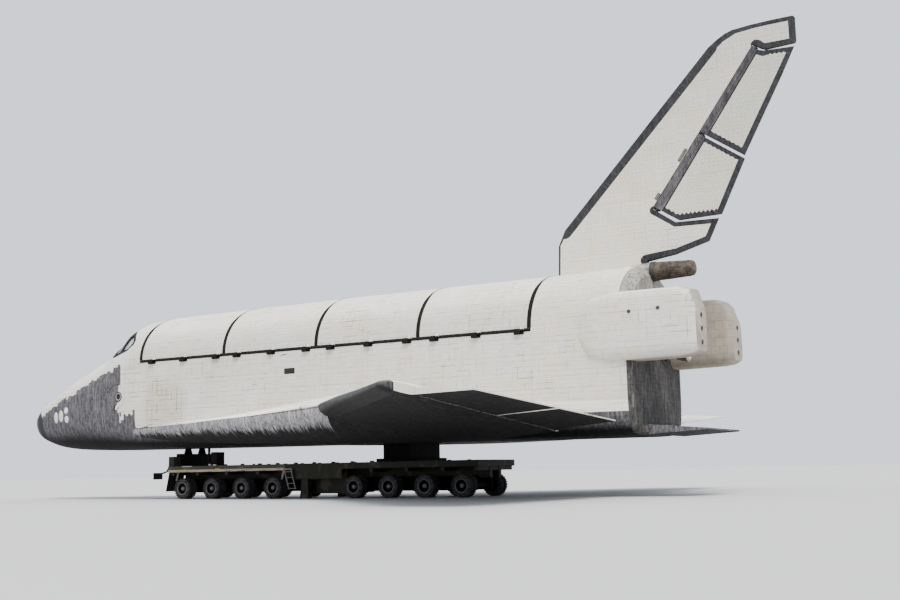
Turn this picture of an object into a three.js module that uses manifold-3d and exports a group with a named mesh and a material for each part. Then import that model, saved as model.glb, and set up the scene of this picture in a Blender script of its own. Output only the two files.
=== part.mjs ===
// A winged orbiter spaceplane, parked on the eight-axle road transporter that carries it.
// Units are millimetres, +Z is up, and the nose points along -X, so port is -Y.
// The origin is on the ground, under the middle of the orbiter's overall length.
import * as THREE from "three";
import { mergeVertices } from "three/addons/utils/BufferGeometryUtils.js";
import Module from "manifold-3d";

const wasm = await Module();
wasm.setup();

// Driving dimensions
const LENGTH = 36370; // nose tip to the fin's trailing corner
const HALF_SPAN = 11960;
const DATUM = 1900; // level from which the orbiter's heights are measured, above the ground
const FIT = 0.3; // gap between fixed neighbours
const RUN = 25; // running gap round a moving surface

// Stations run aft from the nose tip, and heights go up from the datum, just under the belly.
const at = (station) => station - LENGTH / 2;
const up = (height) => height + DATUM;
const rad = THREE.MathUtils.degToRad;

// Materials
const paint = (color, roughness, metalness = 0) =>
  new THREE.MeshStandardMaterial({ color, roughness, metalness });
const FINISH = {
  tileWhite: paint(0xd9d7cf, 0.85),
  tileDark: paint(0x4c4c52, 0.8),
  carbon: paint(0x3a3b3e, 0.6),
  seamBlack: paint(0x26262a, 0.8),
  glass: paint(0x8f99a3, 0.1),
  podGrey: paint(0x9a988c, 0.8),
  nozzle: paint(0x6d675e, 0.5, 0.7),
  cabin: paint(0x8a8d84, 0.8),
  trailer: paint(0x3b3d34, 0.7, 0.2),
  saddle: paint(0x23241f, 0.8),
  cabinet: paint(0x4a3a2c, 0.8),
  tyre: paint(0x2c2d30, 0.9),
};

// Solids
function solidFrom(positions, triangles) {
  const build = (list) =>
    new wasm.Manifold(
      new wasm.Mesh({
        numProp: 3,
        vertProperties: new Float32Array(positions),
        triVerts: new Uint32Array(list),
      }),
    );
  const made = build(triangles);
  if (made.volume() > 0) return made;
  const turned = triangles.slice();
  for (let i = 0; i < turned.length; i += 3)
    [turned[i + 1], turned[i + 2]] = [turned[i + 2], turned[i + 1]];
  return build(turned);
}

function solidOf(geometry) {
  const bare = geometry.index ? geometry.toNonIndexed() : geometry.clone();
  bare.deleteAttribute("normal");
  bare.deleteAttribute("uv");
  const merged = mergeVertices(bare, 1e-3);
  return solidFrom(
    Array.from(merged.attributes.position.array),
    Array.from(merged.index.array),
  );
}

function geometryOf(solid) {
  const mesh = solid.getMesh();
  const geometry = new THREE.BufferGeometry();
  const positions = new Float32Array(mesh.numVert * 3);
  for (let i = 0; i < mesh.numVert; i++)
    positions.set(
      mesh.vertProperties.subarray(i * mesh.numProp, i * mesh.numProp + 3),
      i * 3,
    );
  geometry.setAttribute("position", new THREE.BufferAttribute(positions, 3));
  geometry.setIndex(new THREE.BufferAttribute(mesh.triVerts, 1));
  geometry.computeVertexNormals();
  return geometry;
}

// A skin through rings of [x, y, z] points, closed at both ends by flat caps.
// flat names the two coordinates in which a cap is triangulated, and crossed says
// which strips are split along their other diagonal, so that a skin can be symmetric.
function loft(rings, flat, crossed = () => false) {
  const count = rings[0].length;
  const triangles = [];
  for (let r = 0; r + 1 < rings.length; r++)
    for (let i = 0; i < count; i++) {
      const a = r * count + i;
      const b = r * count + ((i + 1) % count);
      if (crossed(i)) triangles.push(a, b, b + count, a, b + count, a + count);
      else triangles.push(a, b, a + count, b, b + count, a + count);
    }
  const cap = (ring) =>
    THREE.ShapeUtils.triangulateShape(
      ring.map((p) => new THREE.Vector2(p[flat[0]], p[flat[1]])),
      [],
    );
  const last = (rings.length - 1) * count;
  const winding = Math.sign(
    THREE.ShapeUtils.area(
      rings[0].map((p) => new THREE.Vector2(p[flat[0]], p[flat[1]])),
    ),
  );
  for (const [a, b, c] of cap(rings[0]))
    triangles.push(...(winding > 0 ? [c, b, a] : [a, b, c]));
  for (const [a, b, c] of cap(rings[rings.length - 1]))
    triangles.push(
      ...(winding > 0
        ? [a + last, b + last, c + last]
        : [c + last, b + last, a + last]),
    );
  return consistent(rings.flat(2), triangles, count, rings.length);
}

// Turns the caps over where they face against the skin, so that every edge is shared the right way.
function consistent(positions, triangles, count, ringCount) {
  const skin = count * (ringCount - 1) * 2;
  const edges = new Set();
  for (let t = 0; t < skin; t++)
    for (let k = 0; k < 3; k++)
      edges.add(`${triangles[3 * t + k]}_${triangles[3 * t + ((k + 1) % 3)]}`);
  const clashing = (from, to) => {
    for (let t = from; t < to; t++)
      for (let k = 0; k < 3; k++)
        if (edges.has(`${triangles[3 * t + k]}_${triangles[3 * t + ((k + 1) % 3)]}`))
          return true;
    return false;
  };
  const total = triangles.length / 3;
  const half = skin + (total - skin) / 2;
  for (const [from, to] of [
    [skin, half],
    [half, total],
  ])
    if (clashing(from, to))
      for (let t = from; t < to; t++)
        [triangles[3 * t + 1], triangles[3 * t + 2]] = [
          triangles[3 * t + 2],
          triangles[3 * t + 1],
        ];
  return solidFrom(positions, triangles);
}

const shapeOf = (points) =>
  new THREE.Shape(points.map(([u, v]) => new THREE.Vector2(u, v)));

// An outline of [station, height] points, extruded across from y = low to y = high
function sidePlate(outline, low, high) {
  const plate = new THREE.ExtrudeGeometry(
    shapeOf(outline.map(([s, h]) => [at(s), up(h)])),
    { depth: high - low, bevelEnabled: false },
  );
  plate.rotateX(Math.PI / 2).translate(0, high, 0);
  return solidOf(plate);
}

// An outline of [y, height] points, extruded along the stations from low to high
function crossPlate(outline, low, high) {
  const plate = new THREE.ExtrudeGeometry(
    shapeOf(outline.map(([y, h]) => [y, up(h)])),
    { depth: high - low, bevelEnabled: false },
  );
  const basis = new THREE.Matrix4().makeBasis(
    new THREE.Vector3(0, 1, 0),
    new THREE.Vector3(0, 0, 1),
    new THREE.Vector3(1, 0, 0),
  );
  plate.applyMatrix4(basis).translate(at(low), 0, 0);
  return solidOf(plate);
}

// An outline of [station, y] points, extruded up from height low to height high
function planPlate(outline, low, high) {
  const plate = new THREE.ExtrudeGeometry(
    shapeOf(outline.map(([s, y]) => [at(s), y])),
    { depth: high - low, bevelEnabled: false },
  );
  plate.translate(0, 0, up(low));
  return solidOf(plate);
}

// A box between two corners given as [station, y, height]
function block([s0, y0, h0], [s1, y1, h1]) {
  const box = new THREE.BoxGeometry(s1 - s0, y1 - y0, h1 - h0);
  box.translate(at((s0 + s1) / 2), (y0 + y1) / 2, up((h0 + h1) / 2));
  return solidOf(box);
}

// A cylinder or cone between two [station, y, height] points
function rod(from, to, radius, endRadius = radius, sides = 12) {
  const a = new THREE.Vector3(at(from[0]), from[1], up(from[2]));
  const b = new THREE.Vector3(at(to[0]), to[1], up(to[2]));
  const along = b.clone().sub(a);
  const cylinder = new THREE.CylinderGeometry(
    endRadius,
    radius,
    along.length(),
    sides,
  );
  cylinder.applyQuaternion(
    new THREE.Quaternion().setFromUnitVectors(
      new THREE.Vector3(0, 1, 0),
      along.clone().normalize(),
    ),
  );
  const middle = a.add(b).multiplyScalar(0.5);
  cylinder.translate(middle.x, middle.y, middle.z);
  return solidOf(cylinder);
}

const mirrored = (solid) => solid.mirror([0, 1, 0]);
const joined = (solids) => solids.reduce((sum, next) => sum.add(next));

// Drops the slivers of no thickness that a cut along a shared face can leave
function tidied(solid) {
  const bodies = solid.decompose().filter((body) => Math.abs(body.volume()) > 1);
  return bodies.length === 1 ? bodies[0] : wasm.Manifold.compose(bodies);
}

// Fuselage
// Each section is a half ellipse over a squarer lower half, which meet at the widest height.
const SECTION_POINTS = 28;
const NOSE = [
  // station, half width, top, widest, bottom, lower power
  [0, 60, 1770, 1690, 1610, 2],
  [160, 280, 1950, 1690, 1360, 2],
  [500, 630, 2140, 1710, 960, 2],
  [1200, 1100, 2580, 1780, 690, 2.1],
  [2200, 1500, 3030, 1930, 455, 2.3],
  [3400, 1900, 3600, 2130, 335, 2.5],
  [4700, 2200, 4110, 2380, 280, 2.8],
  [5300, 2310, 4350, 2540, 262, 3],
  [6200, 2440, 4700, 2840, 250, 3.4],
  [6700, 2510, 5100, 3040, 248, 3.8],
  [7400, 2600, 5720, 3380, 247, 4.6],
  [8200, 2660, 5950, 3700, 246, 5.8],
  [9000, 2700, 6000, 3950, 245, 7],
];
const BAY_START = 9000;
const BAY_END = 27300;
const MIDDLE = [
  [9000, 2700, 6000, 3950, 245, 7],
  [14000, 2700, 6060, 3950, 220, 8],
  [20000, 2700, 6110, 3950, 190, 8],
  [27300, 2700, 6120, 3950, 150, 8],
];
const BASE = 30900;
const TAIL = [
  [27300, 2700, 6120, 3950, 150, 8],
  [30300, 2700, 6170, 3950, 150, 8],
  [30700, 2640, 6070, 3900, 165, 8],
  [BASE, 2540, 5800, 3850, 190, 8],
];

function sectionRing([station, half, top, widest, bottom, power], grow) {
  const ring = [];
  for (let i = 0; i < SECTION_POINTS; i++) {
    const angle = (i / SECTION_POINTS) * 2 * Math.PI;
    const [c, s] = [Math.cos(angle), Math.sin(angle)];
    const bend = s >= 0 ? 1 : 2 / power;
    const reach = s >= 0 ? top - widest : widest - bottom;
    ring.push([
      at(station),
      i % (SECTION_POINTS / 2) === SECTION_POINTS / 4
        ? 0
        : (half + grow) * Math.sign(c) * Math.abs(c) ** bend,
      up(widest) + (reach + grow) * Math.sign(s) * Math.abs(s) ** bend,
    ]);
  }
  return ring;
}
const hull = (rows, grow = 0) =>
  loft(
    rows.map((row) => sectionRing(row, grow)),
    [1, 2],
    (i) => i >= SECTION_POINTS / 4 && i < (SECTION_POINTS * 3) / 4,
  );

// The same skin a hair larger, which trims whatever is fitted against it
const trimmer = hull(
  [...NOSE.filter((r) => r[0] > 5000), ...MIDDLE.slice(1), ...TAIL.slice(1)],
  FIT,
);

// Crew cabin: a shell with windows, a hatch opening and a deck inside
const SKIN = 150;
const CABIN_START = 4700;
const CAB_BACK = 8800;
const NOSE_CAP_END = 1000;
const thinned = (rows, depth) =>
  rows.map(([s, half, top, widest, bottom, power]) => [
    s,
    half - depth,
    top - depth,
    widest,
    bottom + depth,
    power,
  ]);
// The room inside the skin, or what stands in it with a gap all round
function cabinRoom(gap) {
  const rows = NOSE.filter((r) => r[0] >= CABIN_START && r[0] < CAB_BACK);
  const back = [CAB_BACK - gap, ...rows.at(-1).slice(1)];
  return hull(thinned([...rows, back], SKIN + gap));
}
const cabinSpace = cabinRoom(0);
const noseSkin = hull(NOSE);
const capCut = block([-100, -3000, -500], [NOSE_CAP_END, 3000, 7000]);
const noseCap = noseSkin.intersect(capCut);
const behindCap = block([NOSE_CAP_END + FIT, -3000, -500], [9000, 3000, 7000]);

// Windshield: a band round the cabin's brow, four panes a side
const BROW = [
  // station, height
  [5300, 4560],
  [6300, 4400],
  [7030, 4200],
  [7310, 4230],
  [8040, 4430],
  [8360, 4710],
  [8350, 4900],
  [7900, 5340],
  [7200, 5500],
  [7200, 7000],
  [5300, 7000],
];
const FRAME_DEPTH = 70;
const PANES = [
  // y near, y far, outline in station and height
  [60, 680, [[6020, 4000], [7080, 4000], [7080, 7000], [6020, 7000]]],
  [780, 1420, [[6140, 4500], [7500, 4480], [7500, 5300], [6140, 5300]]],
  [1520, 2600, [[6750, 4450], [7150, 4330], [7540, 4420], [7620, 5060], [7450, 5260], [6800, 5260]]],
  [1520, 2600, [[7660, 4450], [8030, 4540], [8210, 4760], [8200, 4860], [7900, 5170], [7740, 5060]]],
];
// Moves each side of an outline inwards. The outline runs anticlockwise.
function inset(outline, distance) {
  const n = outline.length;
  return outline.map((point, i) => {
    const before = outline[(i + n - 1) % n];
    const after = outline[(i + 1) % n];
    const normal = ([ax, ay], [bx, by]) => {
      const run = Math.hypot(bx - ax, by - ay);
      return [-(by - ay) / run, (bx - ax) / run];
    };
    const [px, py] = normal(before, point);
    const [qx, qy] = normal(point, after);
    const k = distance / (1 + px * qx + py * qy);
    return [point[0] + (px + qx) * k, point[1] + (py + qy) * k];
  });
}
const shellShape = noseSkin.intersect(behindCap).subtract(cabinSpace);
const behindNose = NOSE.filter((r) => r[0] >= CABIN_START);
const outerLayer = noseSkin.subtract(hull(thinned(behindNose, FRAME_DEPTH)));
const browBlock = sidePlate(BROW, -3000, 3000);
const browFit = sidePlate(inset(BROW, FIT), -3000, 3000);
const paneHoles = joined(
  PANES.flatMap(([near, far, outline]) => [
    sidePlate(outline, near, far),
    sidePlate(outline, -far, -near),
  ]),
);
const windshieldFrame = outerLayer.intersect(browFit).subtract(paneHoles);
const GLASS_THICK = 30;
const windshieldGlass = hull(thinned(behindNose, FRAME_DEPTH + FIT))
  .subtract(hull(thinned(behindNose, FRAME_DEPTH + GLASS_THICK)))
  .intersect(sidePlate(inset(BROW, 40), -3000, 3000));

// Crew hatch on the port side, hinged along its lower edge
const HATCH = { station: 7600, height: 2480, radius: 500, gap: 20 };
const HATCH_HINGE = { y: -2700, height: 1945, barrel: 32, lug: 120 };
const hatchPlug = rod(
  [HATCH.station, -3000, HATCH.height],
  [HATCH.station, -2200, HATCH.height],
  HATCH.radius,
  HATCH.radius,
  24,
);
const hatchHole = rod(
  [HATCH.station, -3000, HATCH.height],
  [HATCH.station, -2200, HATCH.height],
  HATCH.radius + HATCH.gap,
  HATCH.radius + HATCH.gap,
  24,
);
const hatchAxis = (from, to) =>
  rod(
    [HATCH.station + from, HATCH_HINGE.y, HATCH_HINGE.height],
    [HATCH.station + to, HATCH_HINGE.y, HATCH_HINGE.height],
    HATCH_HINGE.barrel,
    HATCH_HINGE.barrel,
    8,
  );
const hatchLump = joined([
  hatchAxis(-HATCH_HINGE.lug / 2, HATCH_HINGE.lug / 2),
  block(
    [HATCH.station - HATCH_HINGE.lug / 2, HATCH_HINGE.y, HATCH_HINGE.height - 30],
    [HATCH.station + HATCH_HINGE.lug / 2, -2450, HATCH_HINGE.height + 5],
  ),
]);
const hatchLugs = [-1, 1].flatMap((side) => {
  const inner = side * (HATCH_HINGE.lug / 2 + FIT);
  const outer = side * (HATCH_HINGE.lug / 2 + 80);
  const [low, high] = [Math.min(inner, outer), Math.max(inner, outer)];
  return [
    hatchAxis(low, high),
    crossPlate(
      [
        [HATCH_HINGE.y - 25, HATCH_HINGE.height],
        [HATCH_HINGE.y + 5, HATCH_HINGE.height],
        [-2640, HATCH.height - HATCH.radius + 90],
        [-2480, HATCH.height - HATCH.radius + 160],
        [-2560, HATCH.height - HATCH.radius + 200],
        [-2690, HATCH.height - HATCH.radius + 90],
      ],
      HATCH.station + low,
      HATCH.station + high,
    ),
  ];
});
const crewHatch = joined([shellShape.intersect(hatchPlug), ...hatchLugs]);
const forwardFuselage = shellShape
  .subtract(browBlock)
  .subtract(hatchHole)
  .add(hatchLump);

// Cabin deck with two seats and a console, which show through the panes and the hatch
const DECK = { low: 3050, high: 3110, from: 5700 };
const SEAT = { width: 560, depth: 520, high: 460, back: 1150, station: 6900 };
const seat = (y) => [
  block(
    [SEAT.station, y - SEAT.width / 2, DECK.high - 5],
    [SEAT.station + SEAT.depth, y + SEAT.width / 2, DECK.high + SEAT.high],
  ),
  block(
    [SEAT.station + SEAT.depth - 120, y - SEAT.width / 2, DECK.high - 5],
    [SEAT.station + SEAT.depth + 60, y + SEAT.width / 2, DECK.high + SEAT.back],
  ),
];
const cabinDeck = joined([
  block([DECK.from, -3000, DECK.low], [CAB_BACK, 3000, DECK.high]),
  ...seat(-650),
  ...seat(650),
  block([5900, -1200, DECK.high - 5], [6200, 1200, DECK.high + 620]),
]).intersect(cabinRoom(FIT));

// Payload bay: a trough with a flat floor, closed by two doors
const SILL = 3940;
const BAY_WALL = 350;
const BAY_END_WALL = 200;
const bayOutline = [
  // y, height
  [-2350, SILL + 3000],
  [-2350, 2350],
  [-1350, 1200],
  [1350, 1200],
  [2350, 2350],
  [2350, SILL + 3000],
];
const HINGE = { y: 2770, height: 3900, barrel: 42, lug: 110 };
const KNUCKLE = { long: 240, outer: 2812, low: 3760, high: 3960 };
const PANEL = (BAY_END - BAY_START) / 4;
const KNUCKLE_OFFSETS = [
  // aft of the start of each of the four door panels
  [730, 2460, 4200],
  [710, 2430, 4130],
  [710, 2430, 4130],
  [710, 2430, 4130],
];
const knuckles = KNUCKLE_OFFSETS.flatMap((row, panel) =>
  row.map((offset) => BAY_START + panel * PANEL + offset - (KNUCKLE.long + HINGE.lug) / 2),
);
const knuckleBlocks = knuckles.flatMap((start) =>
  [-1, 1].map((side) =>
    block(
      [start, Math.min(side * 2660, side * KNUCKLE.outer), KNUCKLE.low],
      [
        start + KNUCKLE.long,
        Math.max(side * 2660, side * KNUCKLE.outer),
        KNUCKLE.high,
      ],
    ),
  ),
);
const troughCut = crossPlate(
  bayOutline,
  BAY_START + BAY_END_WALL,
  BAY_END - BAY_END_WALL,
);
const aboveSill = block([BAY_START - 10, -3000, SILL], [BAY_END + 10, 3000, 7000]);
const midFuselage = joined([
  hull(MIDDLE)
    .intersect(block([BAY_START + FIT, -3000, -500], [BAY_END, 3000, 7000]))
    .subtract(aboveSill)
    .subtract(troughCut),
  ...knuckleBlocks,
]);

// Bay doors: a curved shell that meets its twin on the centre line
const DOOR = { skin: 120, edge: 25, end: 20, middle: 8, steps: 12 };
const SPRING = 3950; // height at which the fuselage is widest, where the roof's arc begins
function doorArc(inset, ridge) {
  const half = 2700 - inset;
  const rise = ridge - SPRING - inset;
  const first = Math.asin((SILL + DOOR.edge - SPRING) / rise);
  const last = Math.acos(DOOR.middle / half);
  const points = [];
  for (let i = 0; i <= DOOR.steps; i++) {
    const a = first + ((last - first) * i) / DOOR.steps;
    points.push([half * Math.cos(a), SPRING + rise * Math.sin(a)]);
  }
  return points;
}
function ridgeAt(station) {
  const next = MIDDLE.findIndex((row) => row[0] >= station);
  const [before, after] = [MIDDLE[next - 1], MIDDLE[next]];
  return THREE.MathUtils.mapLinear(station, before[0], after[0], before[2], after[2]);
}
const doorShell = loft(
  [BAY_START + DOOR.end, MIDDLE[1][0], MIDDLE[2][0], BAY_END - DOOR.end].map((station) =>
    [
      ...doorArc(0, ridgeAt(station)),
      ...doorArc(DOOR.skin, ridgeAt(station)).reverse(),
    ].map(([y, h]) => [at(station), y, up(h)]),
  ),
  [1, 2],
);
const doorLug = (start) =>
  joined([
    rod(
      [start, HINGE.y, HINGE.height],
      [start + HINGE.lug, HINGE.y, HINGE.height],
      HINGE.barrel,
      HINGE.barrel,
      8,
    ),
    crossPlate(
      [
        [HINGE.y - 35, HINGE.height],
        [HINGE.y + 35, HINGE.height],
        [HINGE.y + 5, HINGE.height + 75],
        [HINGE.y - 70, HINGE.height + 150],
        [HINGE.y - 150, HINGE.height + 150],
        [HINGE.y - 150, HINGE.height + 72],
        [HINGE.y - 60, HINGE.height + 72],
      ],
      start,
      start + HINGE.lug,
    ),
  ]);
const bayDoorRight = joined([
  doorShell,
  ...knuckles.map((start) => doorLug(start + KNUCKLE.long + FIT)),
]);

// Aft fuselage, with two ears for the body flap
const FLAP = {
  station: 31130,
  height: 330,
  radius: 170,
  half: 2000,
  trail: 33150,
  edge: 30,
  pin: 60,
};
const EAR = { thick: 110, low: 230, high: 480, aft: 31250 };
const ears = [-1, 1].map((side) => {
  const inner = side * (FLAP.half + RUN);
  const outer = side * (FLAP.half + RUN + EAR.thick);
  return block(
    [BASE - 200, Math.min(inner, outer), EAR.low],
    [EAR.aft, Math.max(inner, outer), EAR.high],
  );
});
const aftFuselage = joined([
  hull(TAIL).intersect(block([BAY_END + FIT, -3000, -500], [BASE, 3000, 7000])),
  ...ears,
]);

// A body flap, rounded where it turns, on a pin at each end
function wedgeRing(y, station, height, radius, trail, trailHeight, edge) {
  const ring = [];
  for (let i = 0; i <= 8; i++) {
    const a = rad(90 + (180 * i) / 8);
    ring.push([
      at(station + radius * Math.cos(a)),
      y,
      up(height + radius * Math.sin(a)),
    ]);
  }
  ring.push([at(trail), y, up(trailHeight - edge)]);
  ring.push([at(trail), y, up(trailHeight + edge)]);
  return ring;
}
const flapRing = (y) =>
  wedgeRing(y, FLAP.station, FLAP.height, FLAP.radius, FLAP.trail, 300, FLAP.edge);
const flapPin = (side) =>
  rod(
    [FLAP.station, side * (FLAP.half - 100), FLAP.height],
    [FLAP.station, side * (FLAP.half + RUN - FIT), FLAP.height],
    FLAP.pin,
  );
const bodyFlap = joined([
  loft([flapRing(-FLAP.half), flapRing(FLAP.half)], [0, 2]),
  flapPin(-1),
  flapPin(1),
]);

// Orbital engines: two open bells on the base
const BELL = { y: 800, height: 3150, throat: 190, mouth: 430, long: 900, wall: 25 };
function engineBell(y) {
  const profile = [
    [0, 0],
    [BELL.throat + 90, 0],
    [BELL.throat + 90, 180],
    [BELL.throat + 20, 260],
    [BELL.mouth * 0.8, 620],
    [BELL.mouth, BELL.long],
    [BELL.mouth - BELL.wall, BELL.long],
    [BELL.mouth * 0.8 - BELL.wall, 620],
    [BELL.throat - 10, 280],
    [0, 240],
  ];
  const bell = new THREE.LatheGeometry(
    profile.map(([r, h]) => new THREE.Vector2(r, h)),
    20,
  );
  bell.rotateZ(-Math.PI / 2).translate(at(BASE + FIT), y, up(BELL.height));
  return solidOf(bell);
}

// Brake-chute case: a round-ended tube under the fin's stub
const CHUTE = { height: 5960, from: 30200, to: 32450, big: 340, small: 240 };
function chuteTube(grow) {
  const end = CHUTE.to - CHUTE.from + grow;
  const profile = [
    [0, 0],
    [CHUTE.big + grow, 0],
    [CHUTE.big + grow, 700],
    [CHUTE.small + 40 + grow, end - 160],
    [CHUTE.small - 30 + grow, end - 30],
    [CHUTE.small - 120 + grow, end],
    [0, end],
  ];
  const tube = new THREE.LatheGeometry(
    profile.map(([r, h]) => new THREE.Vector2(r, h)),
    20,
  );
  tube.rotateZ(-Math.PI / 2).translate(at(CHUTE.from), 0, up(CHUTE.height));
  return solidOf(tube).subtract(trimmer);
}
const chuteCase = chuteTube(0);

// Thruster pods: rounded boxes on the aft corners, running on behind the base
const POD_ROWS = [
  // station, inner y, outer y, low, high
  [28900, 1700, 2660, 3500, 4300],
  [29500, 1500, 2900, 2750, 4850],
  [30300, 1450, 2960, 2600, 5000],
  [32600, 1450, 2960, 2650, 4990],
  [33000, 1480, 2900, 2700, 4860],
  [33200, 1580, 2800, 2800, 4300],
];
const POD_CORNER = 0.22;
const POD_TILT = 90; // the top is higher towards the middle
function podRing([station, inner, outer, low, high]) {
  const [cy, cz] = [(inner + outer) / 2, (low + high) / 2];
  const [hy, hz] = [(outer - inner) / 2, (high - low) / 2];
  const k = 1 - POD_CORNER;
  const m = 1 - POD_CORNER * 0.3;
  return [
    [1, k],
    [m, m],
    [k, 1],
    [-k, 1],
    [-m, m],
    [-1, k],
    [-1, -k],
    [-m, -m],
    [-k, -1],
    [k, -1],
    [m, -m],
    [1, -k],
  ].map(([u, v]) => [
    at(station),
    cy + u * hy,
    up(cz + v * hz - (v > 0 ? u * v * POD_TILT : 0)),
  ]);
}
const podRight = loft(POD_ROWS.map(podRing), [1, 2]).subtract(trimmer);

// Fin and rudder
// a runs up the hinge line from its lower end, d runs aft of it at a right angle.
const HINGE_LOW = [31200, 8210];
const HINGE_DIR = [0.5806, 0.8142];
const onFin = ([a, d]) => [
  HINGE_LOW[0] + a * HINGE_DIR[0] + d * HINGE_DIR[1],
  HINGE_LOW[1] + a * HINGE_DIR[1] - d * HINGE_DIR[0],
];
const SPLIT_GAP = 95;
const RUDDER_TOP = 6440;
const RUDDER_NOSE = [200, 150]; // radius at the lower and upper ends
const NOSE_GAP = 28; // from the rudder's nose to the fin's rear face
const finOutline = [
  [BAY_END + 10, 5500],
  [BAY_END + 10, 6300],
  [27330, 7250],
  [27600, 7840],
  [33320, 13800],
  [33650, 14030],
  [33940, 14190],
  [34200, 14270],
  [34830, 14320],
  [36300, 14360],
  [LENGTH, 14300],
  [LENGTH, 13370],
  onFin([6565, 354]),
  onFin([RUDDER_TOP + SPLIT_GAP, 171]),
  onFin([RUDDER_TOP + SPLIT_GAP, -RUDDER_NOSE[1] - NOSE_GAP]),
  onFin([-SPLIT_GAP, -RUDDER_NOSE[0] - NOSE_GAP]),
  onFin([-SPLIT_GAP, 860]),
  onFin([771, 2115]),
  [32990, 6840],
  [31760, 6500],
  [30730, 6360],
  [30730, 5500],
];
const FIN_WEDGE = [
  // a, nose d, nose half, hinge half, tail d, tail half
  [-6500, -4200, 60, 230, 3600, 40],
  [0, -2950, 55, 172, 2300, 35],
  [9000, -1500, 45, 92, 900, 25],
];
const finRing = ([a, noseD, noseHalf, hingeHalf, tailD, tailHalf], grow = 0) => {
  const place = (d, y) => {
    const [s, h] = onFin([a, d]);
    return [at(s), y, up(h)];
  };
  return [
    place(noseD, -noseHalf - grow),
    place(0, -hingeHalf - grow),
    place(tailD, -tailHalf - grow),
    place(tailD, tailHalf + grow),
    place(0, hingeHalf + grow),
    place(noseD, noseHalf + grow),
  ];
};
const finWedge = loft(
  FIN_WEDGE.map((row) => finRing(row)),
  [0, 1],
);
const SHAFT = { radius: 55, bore: 61, collar: 110, thick: 60, sides: 16 };
const fin = sidePlate(finOutline, -600, 600)
  .intersect(finWedge)
  .subtract(trimmer)
  .subtract(chuteTube(FIT));

const hingePoint = (a) => {
  const [s, h] = onFin([a, 0]);
  return [s, 0, h];
};
const noseRadius = (a) =>
  RUDDER_NOSE[0] + ((RUDDER_NOSE[1] - RUDDER_NOSE[0]) * a) / RUDDER_TOP;
const SPLIT = 3020;
const rudderPanels = {
  lower: {
    from: 0,
    to: SPLIT - SPLIT_GAP / 2,
    outline: [
      [0, 0],
      [0, 317],
      [25, 879],
      [941, 2129],
      [SPLIT - SPLIT_GAP / 2, 1788],
      [SPLIT - SPLIT_GAP / 2, 0],
    ],
  },
  upper: {
    from: SPLIT + SPLIT_GAP / 2,
    to: RUDDER_TOP,
    outline: [
      [SPLIT + SPLIT_GAP / 2, 0],
      [SPLIT + SPLIT_GAP / 2, 1720],
      [7093, 1231],
      [6501, 350],
      [RUDDER_TOP, 153],
      [RUDDER_TOP, 0],
    ],
  },
};
// A prism along the hinge line, from an outline of [distance aft, y] points
const alongHinge = (outline, from, to) =>
  loft(
    [from, to].map((a) =>
      outline.map(([d, y]) => {
        const [s, h] = onFin([a, d]);
        return [at(s), y, up(h)];
      }),
    ),
    [0, 1],
  );
// Each half's nose stops short of the middle in front, so that both can swing outwards.
const NOTCH = [
  [0, -60],
  [0, 0],
  [-420, 466],
  [-700, 466],
  [-700, -60],
];
function rudderHalf({ from, to, outline }) {
  const panel = sidePlate(outline.map(onFin), -600, 600).intersect(finWedge);
  const nose = rod(
    hingePoint(from),
    hingePoint(to),
    noseRadius(from),
    noseRadius(to),
    20,
  );
  const bore = rod(
    hingePoint(from - 10),
    hingePoint(to + 10),
    SHAFT.bore,
    SHAFT.bore,
    SHAFT.sides,
  );
  return panel
    .add(nose)
    .subtract(bore)
    .subtract(alongHinge(NOTCH, from - 20, to + 20))
    .intersect(block([30000, FIT, 5000], [38000, 1000, 16000]));
}
const collar = (from) =>
  rod(
    hingePoint(from),
    hingePoint(from + SHAFT.thick),
    SHAFT.collar,
    SHAFT.collar,
    SHAFT.sides,
  );
const rudderShaft = joined([
  rod(
    hingePoint(-SPLIT_GAP + FIT),
    hingePoint(RUDDER_TOP + SPLIT_GAP - FIT),
    SHAFT.radius,
    SHAFT.radius,
    SHAFT.sides,
  ),
  collar(-SHAFT.thick - FIT),
  collar(SPLIT - SPLIT_GAP / 2 + FIT),
  collar(RUDDER_TOP + FIT),
]);

// Wings
// A section runs from the leading edge to the elevon hinge. Its depth swells between them.
const ELEVON = { station: 28100, root: 270, tip: 100, y0: 2810, y1: 11700 };
const DIHEDRAL = 0.065;
const hingeHeight = (y) => 660 + (y - 2700) * DIHEDRAL;
const hingeRadius = (y) =>
  ELEVON.root + ((ELEVON.tip - ELEVON.root) * (y - 2700)) / (HALF_SPAN - 2700);
const trailStation = (y) => 30350 - 0.05 * (y - 2700);
const WING = [
  // y, lead station, lead height, upper swell, lower swell, upper peak, lower peak
  [2400, 7670, 1050, 1000, 540, 0.68, 0.4],
  [3300, 11900, 1150, 1000, 600, 0.64, 0.4],
  [4100, 15660, 1250, 930, 620, 0.58, 0.4],
  [5000, 19900, 1480, 470, 640, 0.42, 0.42],
  [7000, 21900, 1500, 380, 540, 0.4, 0.42],
  [9500, 24400, 1510, 220, 380, 0.4, 0.42],
  [11700, 26600, 1520, 160, 170, 0.4, 0.42],
  [HALF_SPAN, 26950, 1520, 80, 70, 0.4, 0.42],
];
const SWELL_STEPS = [0, 0.012, 0.04, 0.1, 0.2, 0.32, 0.45, 0.6, 0.75, 0.88, 1];
const swell = (u, peak, sharp) => {
  const b = sharp;
  const a = (b * peak) / (1 - peak);
  return (u / peak) ** a * ((1 - u) / (1 - peak)) ** b;
};
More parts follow.
